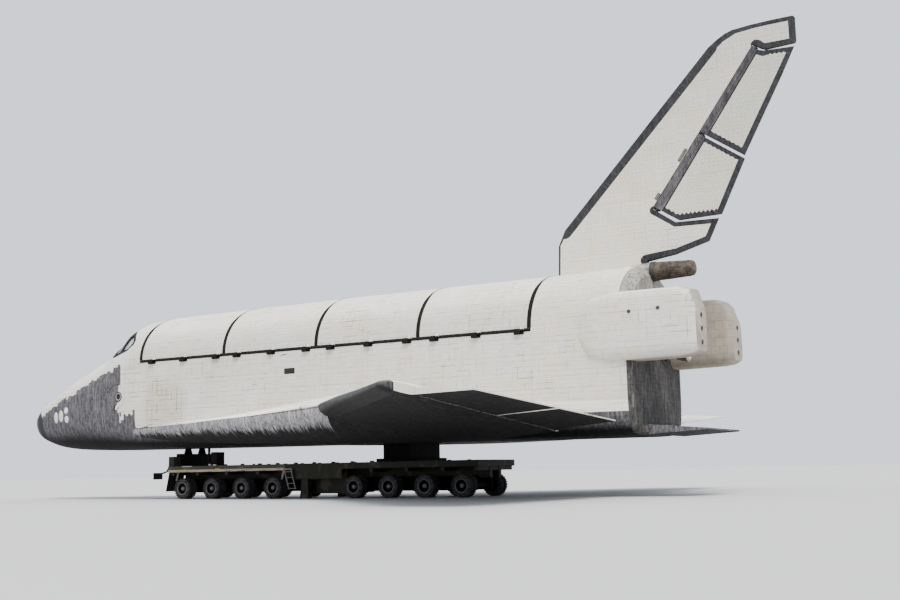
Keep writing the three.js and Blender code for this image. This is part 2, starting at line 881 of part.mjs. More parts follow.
function wingRing([y, lead, leadHeight, upper, lower, upperPeak, lowerPeak]) {
  const hinge = hingeHeight(y);
  const radius = hingeRadius(y);
  const place = (u, side) => {
    const middle = leadHeight + (hinge - leadHeight) * u;
    const bulge =
      side > 0
        ? upper * swell(u, upperPeak, 0.85)
        : lower * swell(u, lowerPeak, 0.55);
    return [
      at(lead + (ELEVON.station - lead) * u),
      y,
      up(middle + side * (radius * u + bulge)),
    ];
  };
  return [
    ...SWELL_STEPS.map((u) => place(u, 1)),
    ...SWELL_STEPS.slice(1)
      .reverse()
      .map((u) => place(u, -1)),
  ];
}
const tipStrip = loft(
  [ELEVON.y1 + 20, HALF_SPAN].map((y) =>
    wedgeRing(
      y,
      ELEVON.station,
      hingeHeight(y),
      hingeRadius(y),
      trailStation(y),
      hingeHeight(y) - 40,
      20,
    ),
  ),
  [0, 2],
);
const cove = rod(
  [ELEVON.station, 2400, hingeHeight(2400)],
  [ELEVON.station, ELEVON.y1 + 20, hingeHeight(ELEVON.y1 + 20)],
  hingeRadius(2400) + RUN,
  hingeRadius(ELEVON.y1 + 20) + RUN,
  24,
);
const wingWhole = loft(WING.map(wingRing), [0, 2])
  .subtract(cove)
  .add(tipStrip)
  .subtract(trimmer);

// The leading edge panels run from the kink to the tip.
const EDGE_DEPTH = 420;
const edgePlan = (gap) =>
  planPlate(
    [
      [19600 - 1500, 4995 + gap],
      [19900 + EDGE_DEPTH * 1.414 - gap, 4995 + gap],
      [26960 + EDGE_DEPTH * 1.414 - gap, 12100],
      [19600 - 1500, 12100],
    ],
    -200,
    3000,
  );
const wingEdgeRight = wingWhole.intersect(edgePlan(FIT));

// Elevons: the ends are square to the hinge line, which rises outwards with the wing.
// A rib of the wing stands between the two, and the tip strip holds the outer end.
const ELEVON_SPLIT = 7000;
const RIB = { half: 40, round: 110, from: 27700 };
const PIN = { radius: 50, bore: 50.8, seat: 36, sides: 24 }; // the bore clears the pin's corners
const BOSS = { radius: 90, end: 2780 };
const elevonAxis = (y) => [ELEVON.station, y, hingeHeight(y)];
const elevonRod = (from, to, radius) =>
  rod(elevonAxis(from), elevonAxis(to), radius, radius, PIN.sides);
const rib = joined([
  block(
    [RIB.from, ELEVON_SPLIT - RIB.half, hingeHeight(ELEVON_SPLIT) - RIB.round],
    [
      ELEVON.station,
      ELEVON_SPLIT + RIB.half,
      hingeHeight(ELEVON_SPLIT) + RIB.round,
    ],
  ),
  rod(
    [ELEVON.station, ELEVON_SPLIT - RIB.half, hingeHeight(ELEVON_SPLIT)],
    [ELEVON.station, ELEVON_SPLIT + RIB.half, hingeHeight(ELEVON_SPLIT)],
    RIB.round,
    RIB.round,
    12,
  ),
]).subtract(elevonRod(ELEVON_SPLIT - 100, ELEVON_SPLIT + 100, PIN.bore));
const tipBore = elevonRod(ELEVON.y1 - 200, ELEVON.y1 + 100, PIN.bore);
const wingRight = wingWhole
  .subtract(edgePlan(0))
  .add(rib)
  .subtract(tipBore);

function elevon(from, to, pinFrom, pinTo) {
  const ring = (y) =>
    wedgeRing(
      y,
      ELEVON.station,
      hingeHeight(y),
      hingeRadius(y),
      trailStation(y),
      hingeHeight(y) - 40,
      20,
    );
  const slant = 400;
  const skin = loft([ring(from - slant), ring(to + slant)], [0, 2]);
  const slab = new THREE.BoxGeometry(4000, (to - from) * Math.hypot(1, DIHEDRAL), 4000);
  slab.applyMatrix4(new THREE.Matrix4().makeRotationX(Math.atan(DIHEDRAL)));
  slab.translate(at(29000), (from + to) / 2, up(hingeHeight((from + to) / 2)));
  return skin.intersect(solidOf(slab)).add(elevonRod(pinFrom, pinTo, PIN.radius));
}
const elevonInnerRight = elevon(
  ELEVON.y0,
  ELEVON_SPLIT - RIB.half - RUN,
  BOSS.end + FIT,
  ELEVON_SPLIT - RIB.half + PIN.seat,
);
const elevonBoss = rod(
  elevonAxis(2450),
  elevonAxis(BOSS.end),
  BOSS.radius,
  BOSS.radius,
  PIN.sides,
);
const elevonOuterRight = elevon(
  ELEVON_SPLIT + RIB.half + RUN,
  ELEVON.y1 - RUN + 20,
  ELEVON_SPLIT + RIB.half - PIN.seat,
  ELEVON.y1 + 80,
);

// Transporter
// Heights on it are measured from the ground.
const ground = (height) => height - DATUM;
const WHEEL_SIDES = 16;
const HUB = 435; // axle height, which puts a flat of the faceted tyre on the ground
const TYRE = HUB / Math.cos(Math.PI / WHEEL_SIDES);
const AXLES = [10370, 11940, 13520, 15120, 19020, 20600, 22180, 23760];
const WHEEL = { inner: 980, outer: 1500, bore: 75, stub: 65, rim: 240 };
const wheelProfile = [
  // radius, distance out from the inner face
  [WHEEL.bore, 0],
  [TYRE - 60, 0],
  [TYRE, 60],
  [TYRE, WHEEL.outer - WHEEL.inner - 60],
  [TYRE - 60, WHEEL.outer - WHEEL.inner],
  [WHEEL.rim, WHEEL.outer - WHEEL.inner],
  [WHEEL.rim - 30, WHEEL.outer - WHEEL.inner - 130],
  [WHEEL.bore, WHEEL.outer - WHEEL.inner - 130],
  [WHEEL.bore, 0],
];
function wheel(station, side) {
  const lathe = new THREE.LatheGeometry(
    wheelProfile.map(([r, h]) => new THREE.Vector2(r, h)),
    WHEEL_SIDES,
    Math.PI / WHEEL_SIDES,
  );
  if (side < 0) lathe.rotateX(Math.PI);
  lathe.translate(at(station), side * WHEEL.inner, HUB);
  return solidOf(lathe);
}

const BEAM = { y: 380, wide: 200, low: 710 };
const DECK_TOP = 1370;
const DECK_LOW = 1130;
const DECK_HALF = 1500;
const TRAILER = { front: 9570, rear: 24500 };
// Between the two wheel groups
const GIRDER = { from: 16300, to: 18500, low: 770, thick: 60 };
const POWER_PACK = { from: 16950, to: 18400, half: 1000, low: 180 };
const LEG = { top: [16580, 16820], foot: [16440, 16870], inner: 1180, outer: 1430 };
const MUD_PLATE = { top: [9650, 1140], foot: [9470, 320], thick: 30, inner: 550 };
const g = ([s, y, h]) => [s, y, ground(h)];
const gBlock = (a, b) => block(g(a), g(b));
// The same outline of [station, height over the ground] on both sides
const bothSides = (outline, inner, outer) => {
  const onGround = outline.map(([s, h]) => [s, ground(h)]);
  return [sidePlate(onGround, inner, outer), sidePlate(onGround, -outer, -inner)];
};
const legs = bothSides(
  [
    [LEG.foot[0], 0],
    [LEG.foot[1], 0],
    [LEG.top[1], DECK_LOW + 20],
    [LEG.top[0], DECK_LOW + 20],
  ],
  LEG.inner,
  LEG.outer,
);
const mudPlates = bothSides(
  [
    [MUD_PLATE.foot[0], MUD_PLATE.foot[1]],
    [MUD_PLATE.foot[0] + MUD_PLATE.thick, MUD_PLATE.foot[1]],
    [MUD_PLATE.top[0] + MUD_PLATE.thick, MUD_PLATE.top[1]],
    [MUD_PLATE.top[0], MUD_PLATE.top[1]],
  ],
  MUD_PLATE.inner,
  DECK_HALF,
);
const girders = bothSides(
  [
    [GIRDER.from, GIRDER.low],
    [GIRDER.to, GIRDER.low],
    [GIRDER.to, DECK_LOW + 20],
    [GIRDER.from, DECK_LOW + 20],
  ],
  DECK_HALF - GIRDER.thick,
  DECK_HALF,
);
const CROSS_BEAMS = [9800, 11155, 12730, 14320, 16300, 18200, 19810, 21390, 22970, 24350];
const crossBeams = CROSS_BEAMS.map((s) =>
  gBlock(
    [s - 70, -DECK_HALF + 60, DECK_LOW - 150],
    [s + 70, DECK_HALF - 60, DECK_LOW + 40],
  ),
);
const trailerFrame = joined([
  gBlock([TRAILER.front, -DECK_HALF, DECK_LOW], [TRAILER.rear, DECK_HALF, DECK_TOP]),
  ...[-1, 1].map((side) =>
    gBlock(
      [TRAILER.front + 60, side * BEAM.y - BEAM.wide / 2, BEAM.low],
      [TRAILER.rear - 60, side * BEAM.y + BEAM.wide / 2, DECK_LOW + 20],
    ),
  ),
  ...crossBeams,
  ...girders,
  ...legs,
  ...mudPlates,
  gBlock(
    [POWER_PACK.from, -POWER_PACK.half, POWER_PACK.low],
    [POWER_PACK.to, POWER_PACK.half, DECK_LOW + 20],
  ),
]);

// Bogies: a pair of side rails, with a beam and two stub axles at each wheel pair
const RAIL = { y: 640, wide: 160, low: 250, high: 800 };
function bogie(stations) {
  const [first, last] = [stations[0], stations.at(-1)];
  const hangers = [first + 760, last - 760].flatMap((s) =>
    [-1, 1].map((side) =>
      gBlock(
        [s - 150, side * BEAM.y - 60, RAIL.high - 200],
        [s + 150, side * BEAM.y + 60, BEAM.low - FIT],
      ),
    ),
  );
  const bars = [first + 760, last - 760].map((s) =>
    gBlock([s - 120, -RAIL.y, RAIL.low + 60], [s + 120, RAIL.y, RAIL.high - 100]),
  );
  const axles = stations.flatMap((s) => [
    gBlock([s - 80, -WHEEL.inner + 120, HUB - 80], [s + 80, WHEEL.inner - 120, HUB + 80]),
    ...[-1, 1].map((side) =>
      rod(
        g([s, side * (WHEEL.inner - 125), HUB]),
        g([s, side * (WHEEL.inner - FIT), HUB]),
        170,
        170,
        8,
      ),
    ),
    ...[-1, 1].map((side) =>
      rod(
        g([s, side * (WHEEL.inner - 125), HUB]),
        g([s, side * (WHEEL.outer - 150), HUB]),
        WHEEL.stub,
        WHEEL.stub,
        8,
      ),
    ),
  ]);
  const rails = [-1, 1].map((side) =>
    gBlock(
      [first - 200, side * RAIL.y - RAIL.wide / 2, RAIL.low],
      [last + 200, side * RAIL.y + RAIL.wide / 2, RAIL.high],
    ),
  );
  return joined([...rails, ...bars, ...hangers, ...axles]);
}

// What carries the belly: a slim bolster with two tapered posts in front, a broad saddle behind
const BOLSTER = { from: 9620, to: 9880, half: 1040, high: 1905 };
const POST = { y: 440, foot: 190, neck: 75 };
const POST_TOP = DATUM + 600; // above the belly, which trims what stands under it
const BELLY_TOUCH = DATUM + 420; // where a tapered post has come down to its neck
const saddleFront = joined([
  gBlock(
    [BOLSTER.from, -BOLSTER.half, DECK_TOP + FIT],
    [BOLSTER.to, BOLSTER.half, BOLSTER.high],
  ),
  ...[-POST.y, POST.y].map((y) => {
    const s = (BOLSTER.from + BOLSTER.to) / 2;
    return rod(
      g([s, y, BOLSTER.high - 20]),
      g([s, y, BELLY_TOUCH]),
      POST.foot,
      POST.neck,
      8,
    );
  }),
]).subtract(trimmer);
const SADDLE = { from: 20000, to: 21600, half: 1350, foot: 120, inset: 200 };
const saddleRear = joined([
  gBlock(
    [SADDLE.from, -SADDLE.half, DECK_TOP + FIT],
    [SADDLE.to, SADDLE.half, DECK_TOP + SADDLE.foot],
  ),
  gBlock(
    [SADDLE.from + SADDLE.inset, -SADDLE.half + SADDLE.inset, DECK_TOP + SADDLE.foot - 20],
    [SADDLE.to - SADDLE.inset, SADDLE.half - SADDLE.inset, POST_TOP],
  ),
]).subtract(trimmer);

// Service cabinet with its post, and a battery box on the deck's near corner
const CABINET = { from: 11760, to: 12070, near: -1300, far: -800, high: 1930 };
const PIPE = { from: 11590, wide: 80, arm: 50 }; // stands beside the cabinet, up to the belly
const cabinet = joined([
  gBlock(
    [CABINET.from, CABINET.near, DECK_TOP + FIT],
    [CABINET.to, CABINET.far, CABINET.high],
  ),
  gBlock(
    [PIPE.from, CABINET.near, DECK_TOP + FIT],
    [PIPE.from + PIPE.wide, CABINET.near + PIPE.wide, POST_TOP],
  ),
  gBlock(
    [PIPE.from + PIPE.wide / 2, CABINET.near + 10, DECK_TOP + 60],
    [CABINET.from + 20, CABINET.near + 10 + PIPE.arm, DECK_TOP + 60 + PIPE.arm],
  ),
]).subtract(trimmer);
const batteryBox = gBlock([9590, -1480, DECK_TOP + FIT], [9900, -1080, 1780]);

// Lamp boards on arms ahead of the deck, joined by a bar across its front
const LAMP = { from: 8750, to: 9220, low: 830, high: 1110, outer: 1500, thick: 70 };
const lampBracket = joined([
  ...bothSides(
    [
      [LAMP.from, LAMP.low],
      [LAMP.to, LAMP.low],
      [LAMP.to, LAMP.high - 60],
      [TRAILER.front - FIT, LAMP.high + 40],
      [TRAILER.front - FIT, LAMP.high + 90],
      [LAMP.to, LAMP.high],
      [LAMP.from, LAMP.high],
    ],
    LAMP.outer - LAMP.thick,
    LAMP.outer,
  ),
  gBlock(
    [TRAILER.front - 70, -LAMP.outer, LAMP.high + 35],
    [TRAILER.front - FIT, LAMP.outer, LAMP.high + 150],
  ),
]);

// Ladder on the port side, leaning from the girder
const LADDER = { top: [15950, 1190], foot: [16200, 370], y: -1590, half: 165, rail: 25 };
const ladderRail = (offset) =>
  rod(
    g([LADDER.top[0] + offset, LADDER.y, LADDER.top[1]]),
    g([LADDER.foot[0] + offset, LADDER.y, LADDER.foot[1]]),
    LADDER.rail,
    LADDER.rail,
    8,
  );
const ladderRung = (k) => {
  const s = LADDER.top[0] + (LADDER.foot[0] - LADDER.top[0]) * k;
  const h = LADDER.top[1] + (LADDER.foot[1] - LADDER.top[1]) * k;
  return rod(
    g([s - LADDER.half, LADDER.y, h]),
    g([s + LADDER.half, LADDER.y, h]),
    16,
    16,
    6,
  );
};
const ladder = joined([
  ladderRail(-LADDER.half),
  ladderRail(LADDER.half),
  ...[0.16, 0.44, 0.72, 0.96].map(ladderRung),
  gBlock(
    [LADDER.top[0] - LADDER.half - 30, LADDER.y - 20, LADDER.top[1] - 60],
    [LADDER.top[0] + LADDER.half + 50, -DECK_HALF - FIT, LADDER.top[1]],
  ),
]);

// The assembly
const assembly = new THREE.Group();
function piece(name, solid, material) {
  const mesh = new THREE.Mesh(geometryOf(tidied(solid)), material);
  mesh.name = name;
  assembly.add(mesh);
}
const pair = (name, right, material) => {
  piece(`${name}_right`, right, material);
  piece(`${name}_left`, mirrored(right), material);
};

piece("nose_cap", noseCap, FINISH.carbon);
piece("forward_fuselage", forwardFuselage, FINISH.tileWhite);
piece("windshield_frame", windshieldFrame, FINISH.carbon);
piece("windshield_glass", windshieldGlass, FINISH.glass);
piece("cabin_deck", cabinDeck, FINISH.cabin);
piece("crew_hatch", crewHatch, FINISH.tileWhite);
piece("mid_fuselage", midFuselage, FINISH.tileWhite);
pair("bay_door", bayDoorRight, FINISH.tileWhite);
piece(
  "aft_fuselage",
  joined([aftFuselage, elevonBoss, mirrored(elevonBoss)]),
  FINISH.tileWhite,
);
piece("body_flap", bodyFlap, FINISH.tileDark);
piece("engine_right", engineBell(BELL.y), FINISH.nozzle);
piece("engine_left", engineBell(-BELL.y), FINISH.nozzle);
piece("chute_case", chuteCase, FINISH.carbon);
pair("thruster_pod", podRight, FINISH.podGrey);
piece("fin", fin, FINISH.tileWhite);
piece("rudder_shaft", rudderShaft, FINISH.carbon);
pair("rudder_lower", rudderHalf(rudderPanels.lower), FINISH.tileWhite);
pair("rudder_upper", rudderHalf(rudderPanels.upper), FINISH.tileWhite);
pair("wing", wingRight, FINISH.tileWhite);
pair("wing_edge", wingEdgeRight, FINISH.carbon);
pair("elevon_inner", elevonInnerRight, FINISH.tileWhite);
pair("elevon_outer", elevonOuterRight, FINISH.tileWhite);
piece("trailer_frame", trailerFrame, FINISH.trailer);
piece("bogie_front", bogie(AXLES.slice(0, 4)), FINISH.trailer);
piece("bogie_rear", bogie(AXLES.slice(4)), FINISH.trailer);
AXLES.forEach((station, i) => {
  piece(`wheel_right_${i + 1}`, wheel(station, 1), FINISH.tyre);
  piece(`wheel_left_${i + 1}`, wheel(station, -1), FINISH.tyre);
});
piece("saddle_front", saddleFront, FINISH.saddle);
piece("saddle_rear", saddleRear, FINISH.saddle);
piece("service_cabinet", cabinet, FINISH.cabinet);
piece("battery_box", batteryBox, FINISH.trailer);
piece("lamp_bracket", lampBracket, FINISH.trailer);
piece("ladder", ladder, FINISH.trailer);

export default assembly;
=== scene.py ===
# Looks for a winged orbiter spaceplane parked on its road transporter.
# Metres, +Z up, nose along -X. Stations run aft from the nose, heights up from the datum.
import math

import bmesh
import bpy
import numpy as np
from mathutils import Matrix, Vector


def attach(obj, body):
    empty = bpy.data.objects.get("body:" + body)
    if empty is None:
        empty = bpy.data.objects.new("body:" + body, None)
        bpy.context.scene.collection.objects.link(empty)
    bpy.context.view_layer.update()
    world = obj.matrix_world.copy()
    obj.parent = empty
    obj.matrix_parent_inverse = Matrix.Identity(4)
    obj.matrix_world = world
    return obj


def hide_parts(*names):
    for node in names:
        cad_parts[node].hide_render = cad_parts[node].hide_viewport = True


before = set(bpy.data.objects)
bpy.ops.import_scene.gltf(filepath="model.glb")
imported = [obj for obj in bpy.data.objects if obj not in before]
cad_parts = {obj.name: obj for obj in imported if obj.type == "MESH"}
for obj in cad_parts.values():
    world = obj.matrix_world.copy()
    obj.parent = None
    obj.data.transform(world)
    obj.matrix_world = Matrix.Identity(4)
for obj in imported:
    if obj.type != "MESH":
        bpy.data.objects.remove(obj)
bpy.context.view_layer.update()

bl_info = {
    "name": "Orbiter on transporter",
    "version": (1, 0, 0),
    "blender": (4, 5, 0),
    "location": "View3D > Sidebar > Orbiter",
    "description": "Adds the skin, trim, wheels and finishes of an orbiter on its transporter",
    "category": "Add Mesh",
}

NOSE_X = -18.185
DATUM = 1.9
CENTRE = Vector((0.0, 0.0, 0.0))


def at(station, y, height):
    """A point in the row frame from a station, a y and a height over the datum."""
    return Vector((station + NOSE_X, y, height + DATUM))


# Hull sections: station, half width, top, widest, bottom, power of the lower half
SECTIONS = np.array([
    (0.0, 0.06, 1.77, 1.69, 1.61, 2.0),
    (0.16, 0.28, 1.95, 1.69, 1.36, 2.0),
    (0.5, 0.63, 2.14, 1.71, 0.96, 2.0),
    (1.2, 1.1, 2.58, 1.78, 0.69, 2.1),
    (2.2, 1.5, 3.03, 1.93, 0.455, 2.3),
    (3.4, 1.9, 3.6, 2.13, 0.335, 2.5),
    (4.7, 2.2, 4.11, 2.38, 0.28, 2.8),
    (5.3, 2.31, 4.35, 2.54, 0.262, 3.0),
    (6.2, 2.44, 4.7, 2.84, 0.25, 3.4),
    (6.7, 2.51, 5.1, 3.04, 0.248, 3.8),
    (7.4, 2.6, 5.72, 3.38, 0.247, 4.6),
    (8.2, 2.66, 5.95, 3.7, 0.246, 5.8),
    (9.0, 2.7, 6.0, 3.95, 0.245, 7.0),
    (14.0, 2.7, 6.06, 3.95, 0.22, 8.0),
    (20.0, 2.7, 6.11, 3.95, 0.19, 8.0),
    (27.3, 2.7, 6.12, 3.95, 0.15, 8.0),
    (30.3, 2.7, 6.17, 3.95, 0.15, 8.0),
    (30.7, 2.64, 6.07, 3.9, 0.165, 8.0),
    (30.9, 2.54, 5.8, 3.85, 0.19, 8.0),
])
# Stations where the nose cap, the cabin, the bay and the hull end; the doors' lower edge
NOSE_CAP_END = 1.0
CABIN = (4.7, 8.8)
BAY = (9.0, 27.3)
BASE = 30.9
SILL = 3.94
SKIN = 0.15  # thickness of the hull's shell
FIT = 0.0006  # between neighbouring parts of the hull
TOUCH = 0.0003  # between a hinge's knuckles
ROUND = 96  # points round a section

# Windshield band and its panes, in station and height
BROW = [(5.3, 4.56), (6.3, 4.4), (7.03, 4.2), (7.31, 4.23), (8.04, 4.43), (8.36, 4.71),
        (8.35, 4.9), (7.9, 5.34), (7.2, 5.5), (7.2, 7.0), (5.3, 7.0)]
PANES = [
    # y near, y far, outline
    (0.06, 0.68, [(6.02, 4.0), (7.08, 4.0), (7.08, 7.0), (6.02, 7.0)]),
    (0.78, 1.42, [(6.14, 4.5), (7.5, 4.48), (7.5, 5.3), (6.14, 5.3)]),
    (1.52, 2.6, [(6.75, 4.45), (7.15, 4.33), (7.54, 4.42), (7.62, 5.06), (7.45, 5.26),
                 (6.8, 5.26)]),
    (1.52, 2.6, [(7.66, 4.45), (8.03, 4.54), (8.21, 4.76), (8.2, 4.86), (7.9, 5.17),
                 (7.74, 5.06)]),
]
HATCH = {"station": 7.6, "height": 2.48, "radius": 0.5, "gap": 0.02}

DOOR_PANEL = (BAY[1] - BAY[0]) / 4
HINGE = {"y": 2.77, "height": 3.9, "barrel": 0.042, "lug": 0.11}
KNUCKLE = 0.24
KNUCKLE_OFFSETS = [[0.73, 2.46, 4.2], [0.71, 2.43, 4.13], [0.71, 2.43, 4.13],
                   [0.71, 2.43, 4.13]]
KNUCKLES = [BAY[0] + panel * DOOR_PANEL + offset - (KNUCKLE + HINGE["lug"]) / 2
            for panel, row in enumerate(KNUCKLE_OFFSETS) for offset in row]

# The rudder's hinge line: its lower end and its direction, in station and height
FIN_LOW = (31.2, 8.21)
FIN_DIR = (0.5806, 0.8142)

HUB = 0.435  # height of the axles
AXLES = [10.37, 11.94, 13.52, 15.12, 19.02, 20.6, 22.18, 23.76]
WHEEL = {"inner": 0.98, "outer": 1.5, "between": 0.05, "lugs": 26, "bolts": 10}


# Settings

def length(name, description, default):
    return bpy.props.FloatProperty(name=name, description=description, default=default,
                                   min=0.01, unit="LENGTH", subtype="DISTANCE")


def colour(name, description, *default):
    return bpy.props.FloatVectorProperty(name=name, description=description, default=default,
                                         size=3, min=0.0, max=1.0, subtype="COLOR")


def strength(name, description, default):
    return bpy.props.FloatProperty(name=name, description=description, default=default,
                                   min=0.0, subtype="NONE")


class OrbiterSizes(bpy.types.PropertyGroup):
    """Sizes of the trim."""
    seam: length("Door seam", "Width of a door seam at the sill", 0.18)
    seam_ridge: length("Ridge seam", "Width of a door seam at the ridge", 0.062)
    tile: length("Tile", "Side of a heat tile", 0.15)


class OrbiterColours(bpy.types.PropertyGroup):
    """Colours of the finishes."""
    white: colour("White tiles", "Colour of the white tiles and blankets", 0.74, 0.72, 0.67)
    dark: colour("Dark tiles", "Colour of the dark tiles", 0.105, 0.100, 0.107)
    seam: colour("Seams", "Colour of the door seams and hinge covers", 0.010, 0.010, 0.010)
    pod: colour("Pods", "Colour of the thruster pods' blankets", 0.34, 0.30, 0.24)
    # The transporter's paint and tyres are darker than their own colours, to stand for the deep
    # shade under the orbiter: painted shade.
    paint: colour("Transporter paint", "Colour of the transporter's paint", 0.012, 0.012, 0.007)
    rubber: colour("Rubber", "Colour of the tyres", 0.011, 0.011, 0.012)


class OrbiterStage(bpy.types.PropertyGroup):
    """Camera and light."""
    focal: bpy.props.FloatProperty(
        name="Focal length", description="Lens of the camera",
        default=45.73, min=10.0, subtype="DISTANCE_CAMERA")
    key: strength("Key light", "Strength of the sun", 4.5)
    sky: strength("Sky light", "Strength of the pale sky", 1.42)


def sizes():
    return bpy.context.scene.orbiter_sizes


def colours():
    return bpy.context.scene.orbiter_colours


# Finishes

def worked(operation):
    """A method that works out one sum with the number and what it is given."""
    return lambda self, *others: self.sum(operation, *others)


class Term:
    """A number inside a finish, with ordinary sums."""

    def __init__(self, finish, socket):
        self.finish = finish
        self.socket = socket

    def sum(self, operation, *others, clamp=False):
        node = self.finish.node("ShaderNodeMath", enumerate((self, *others)),
                                operation=operation, use_clamp=clamp)
        return Term(self.finish, node.outputs[0])

    __add__ = __radd__ = worked("ADD")
    __sub__ = worked("SUBTRACT")
    __mul__ = __rmul__ = worked("MULTIPLY")
    __truediv__ = worked("DIVIDE")
    size = worked("ABSOLUTE")
    above = worked("GREATER_THAN")
    below = worked("LESS_THAN")
    least = worked("MINIMUM")
    most = worked("MAXIMUM")
    floor = worked("FLOOR")
    part = worked("FRACT")

    def __rsub__(self, other):
        return self * -1.0 + other

    def between(self, low, high):
        return self.above(low) * self.below(high)

    def snapped(self, step):
        return (self / step).floor() * step

    def clamped(self):
        return self.sum("ADD", 0.0, clamp=True)

    def fade(self, low, high):
        """0 below low, 1 above high, smooth between."""
        node = self.finish.node("ShaderNodeMapRange", {0: self, 1: low, 2: high},
                                interpolation_type="SMOOTHSTEP")
        return Term(self.finish, node.outputs[0])


class Finish:
    """One procedural material, worked out from the object's own coordinates."""

    def __init__(self, name, roughness=0.8, metallic=0.0, specular=0.35):
        self.material = bpy.data.materials.new(name)
        self.material.use_nodes = True
        self.tree = self.material.node_tree
        self.tree.nodes.clear()
        self.shader = self.node("ShaderNodeBsdfPrincipled", {
            "Roughness": roughness, "Metallic": metallic, "Specular IOR Level": specular})
        self.node("ShaderNodeOutputMaterial", {0: self.shader.outputs[0]})
        self.place = self.node("ShaderNodeTexCoord").outputs["Object"]
        x, self.y, self.z = self.split(self.place)
        _, self.ny, self.nz = self.split(self.node("ShaderNodeNewGeometry").outputs["Normal"])
        self.station, self.height = x - NOSE_X, self.z - DATUM

    def node(self, kind, inputs=(), **settings):
        """A new node, with its inputs filled by place or by name."""
        made = self.tree.nodes.new(kind)
        for key, value in settings.items():
            setattr(made, key, value)
        for key, value in dict(inputs).items():
            self.plug(value, made.inputs[key])
        return made

    def plug(self, value, socket):
        if isinstance(value, Term):
            value = value.socket
        if isinstance(value, bpy.types.NodeSocket):
            self.tree.links.new(value, socket)
        elif isinstance(value, tuple) and len(socket.default_value) == 4:
            socket.default_value = (*value[:3], 1.0)
        else:
            socket.default_value = value

    def split(self, vector):
        """The three numbers of a vector."""
        return [Term(self, out)
                for out in self.node("ShaderNodeSeparateXYZ", {0: vector}).outputs]

    def vector(self, x, y, z=0.0):
        return self.node("ShaderNodeCombineXYZ", enumerate((x, y, z))).outputs[0]

    def noise(self, scale, detail=3.0, rough=0.5):
        """A soft random number, with one scale or a scale for each direction."""
        spread = self.node("ShaderNodeMapping", {
            0: self.place, 3: scale if isinstance(scale, tuple) else (scale,) * 3})
        return Term(self, self.node("ShaderNodeTexNoise", {
            "Vector": spread.outputs[0], "Scale": 1.0, "Detail": detail,
            "Roughness": rough}).outputs[0])

    def speckle(self, place):
        """A random number for each place, the same wherever the place is the same."""
        return Term(self, self.node("ShaderNodeTexWhiteNoise", {"Vector": place},
                                    noise_dimensions="3D").outputs[0])

    def curve(self, value, points):
        """A value read off a broken line of (value, result) points."""
        values, results = zip(*points)
        low, high, bottom, top = values[0], values[-1], min(results), max(results)
        node = self.node("ShaderNodeFloatCurve", {1: (value - low) / (high - low)})
        line = node.mapping.curves[0]
        while len(line.points) < len(points):
            line.points.new(0.5, 0.5)
        for point, (a, b) in zip(line.points, points):
            point.location = ((a - low) / (high - low), (b - bottom) / (top - bottom))
            point.handle_type = "VECTOR"
        node.mapping.update()
        return Term(self, node.outputs[0]) * (top - bottom) + bottom

    def mix(self, share, first, second):
        return self.node("ShaderNodeMix", {0: share, 6: first, 7: second},
                         data_type="RGBA").outputs[2]

    def shade(self, colour, amount):
        """A colour made lighter or darker by a number near 1."""
        return self.node("ShaderNodeMix", {
            0: 1.0, 6: colour, 7: self.vector(amount, amount, amount)},
            data_type="RGBA", blend_type="MULTIPLY").outputs[2]

    def done(self, colour, relief, depth, roughness=None):
        """The material, with its colour, its relief and, where it varies, its roughness."""
        bump = self.node("ShaderNodeBump", {"Strength": 1.0, "Distance": depth,
                                            "Height": relief})
        self.plug(colour, self.shader.inputs["Base Color"])
        self.plug(bump.outputs[0], self.shader.inputs["Normal"])
        if roughness is not None:
            self.plug(roughness, self.shader.inputs["Roughness"])
        return self.material

    def joints(self, across, up, tile, width, offset=0.5):
        """Lines between tiles, 1 on a joint and 0 on a tile, and a number for each tile."""
        row = (up / tile).floor()
        column = across / tile + row * offset
        gap = width / tile
        lines = column.part().below(gap).most((up / tile).part().below(gap))
        return lines, self.speckle(self.vector(column.floor(), row))

    def strokes(self, across, up, wide, tall, thick, share):
        """Short lines along some of the blankets' edges, staggered from row to row."""
        row = (up / tall).floor()
        column = across / wide + self.speckle(self.vector(row, 3.0, 1.0))
        number = self.speckle(self.vector(column.floor(), row, 7.0))
        return (up / tall).part().below(thick / tall) * number.above(1.0 - share) * number

    def edge(self, across, along, start, end):
        """Distance from a straight edge between two points."""
        run = (end[0] - start[0], end[1] - start[1])
        length = math.hypot(*run)
        unit = (run[0] / length, run[1] / length)
        p, q = across - start[0], along - start[1]
        share = ((p * unit[0] + q * unit[1]) / length).clamped() * length
        dp, dq = p - share * unit[0], q - share * unit[1]
        return (dp * dp + dq * dq).sum("SQRT")


def tinted(white, red, green, blue):
    return (white[0] * red, white[1] * green, white[2] * blue)


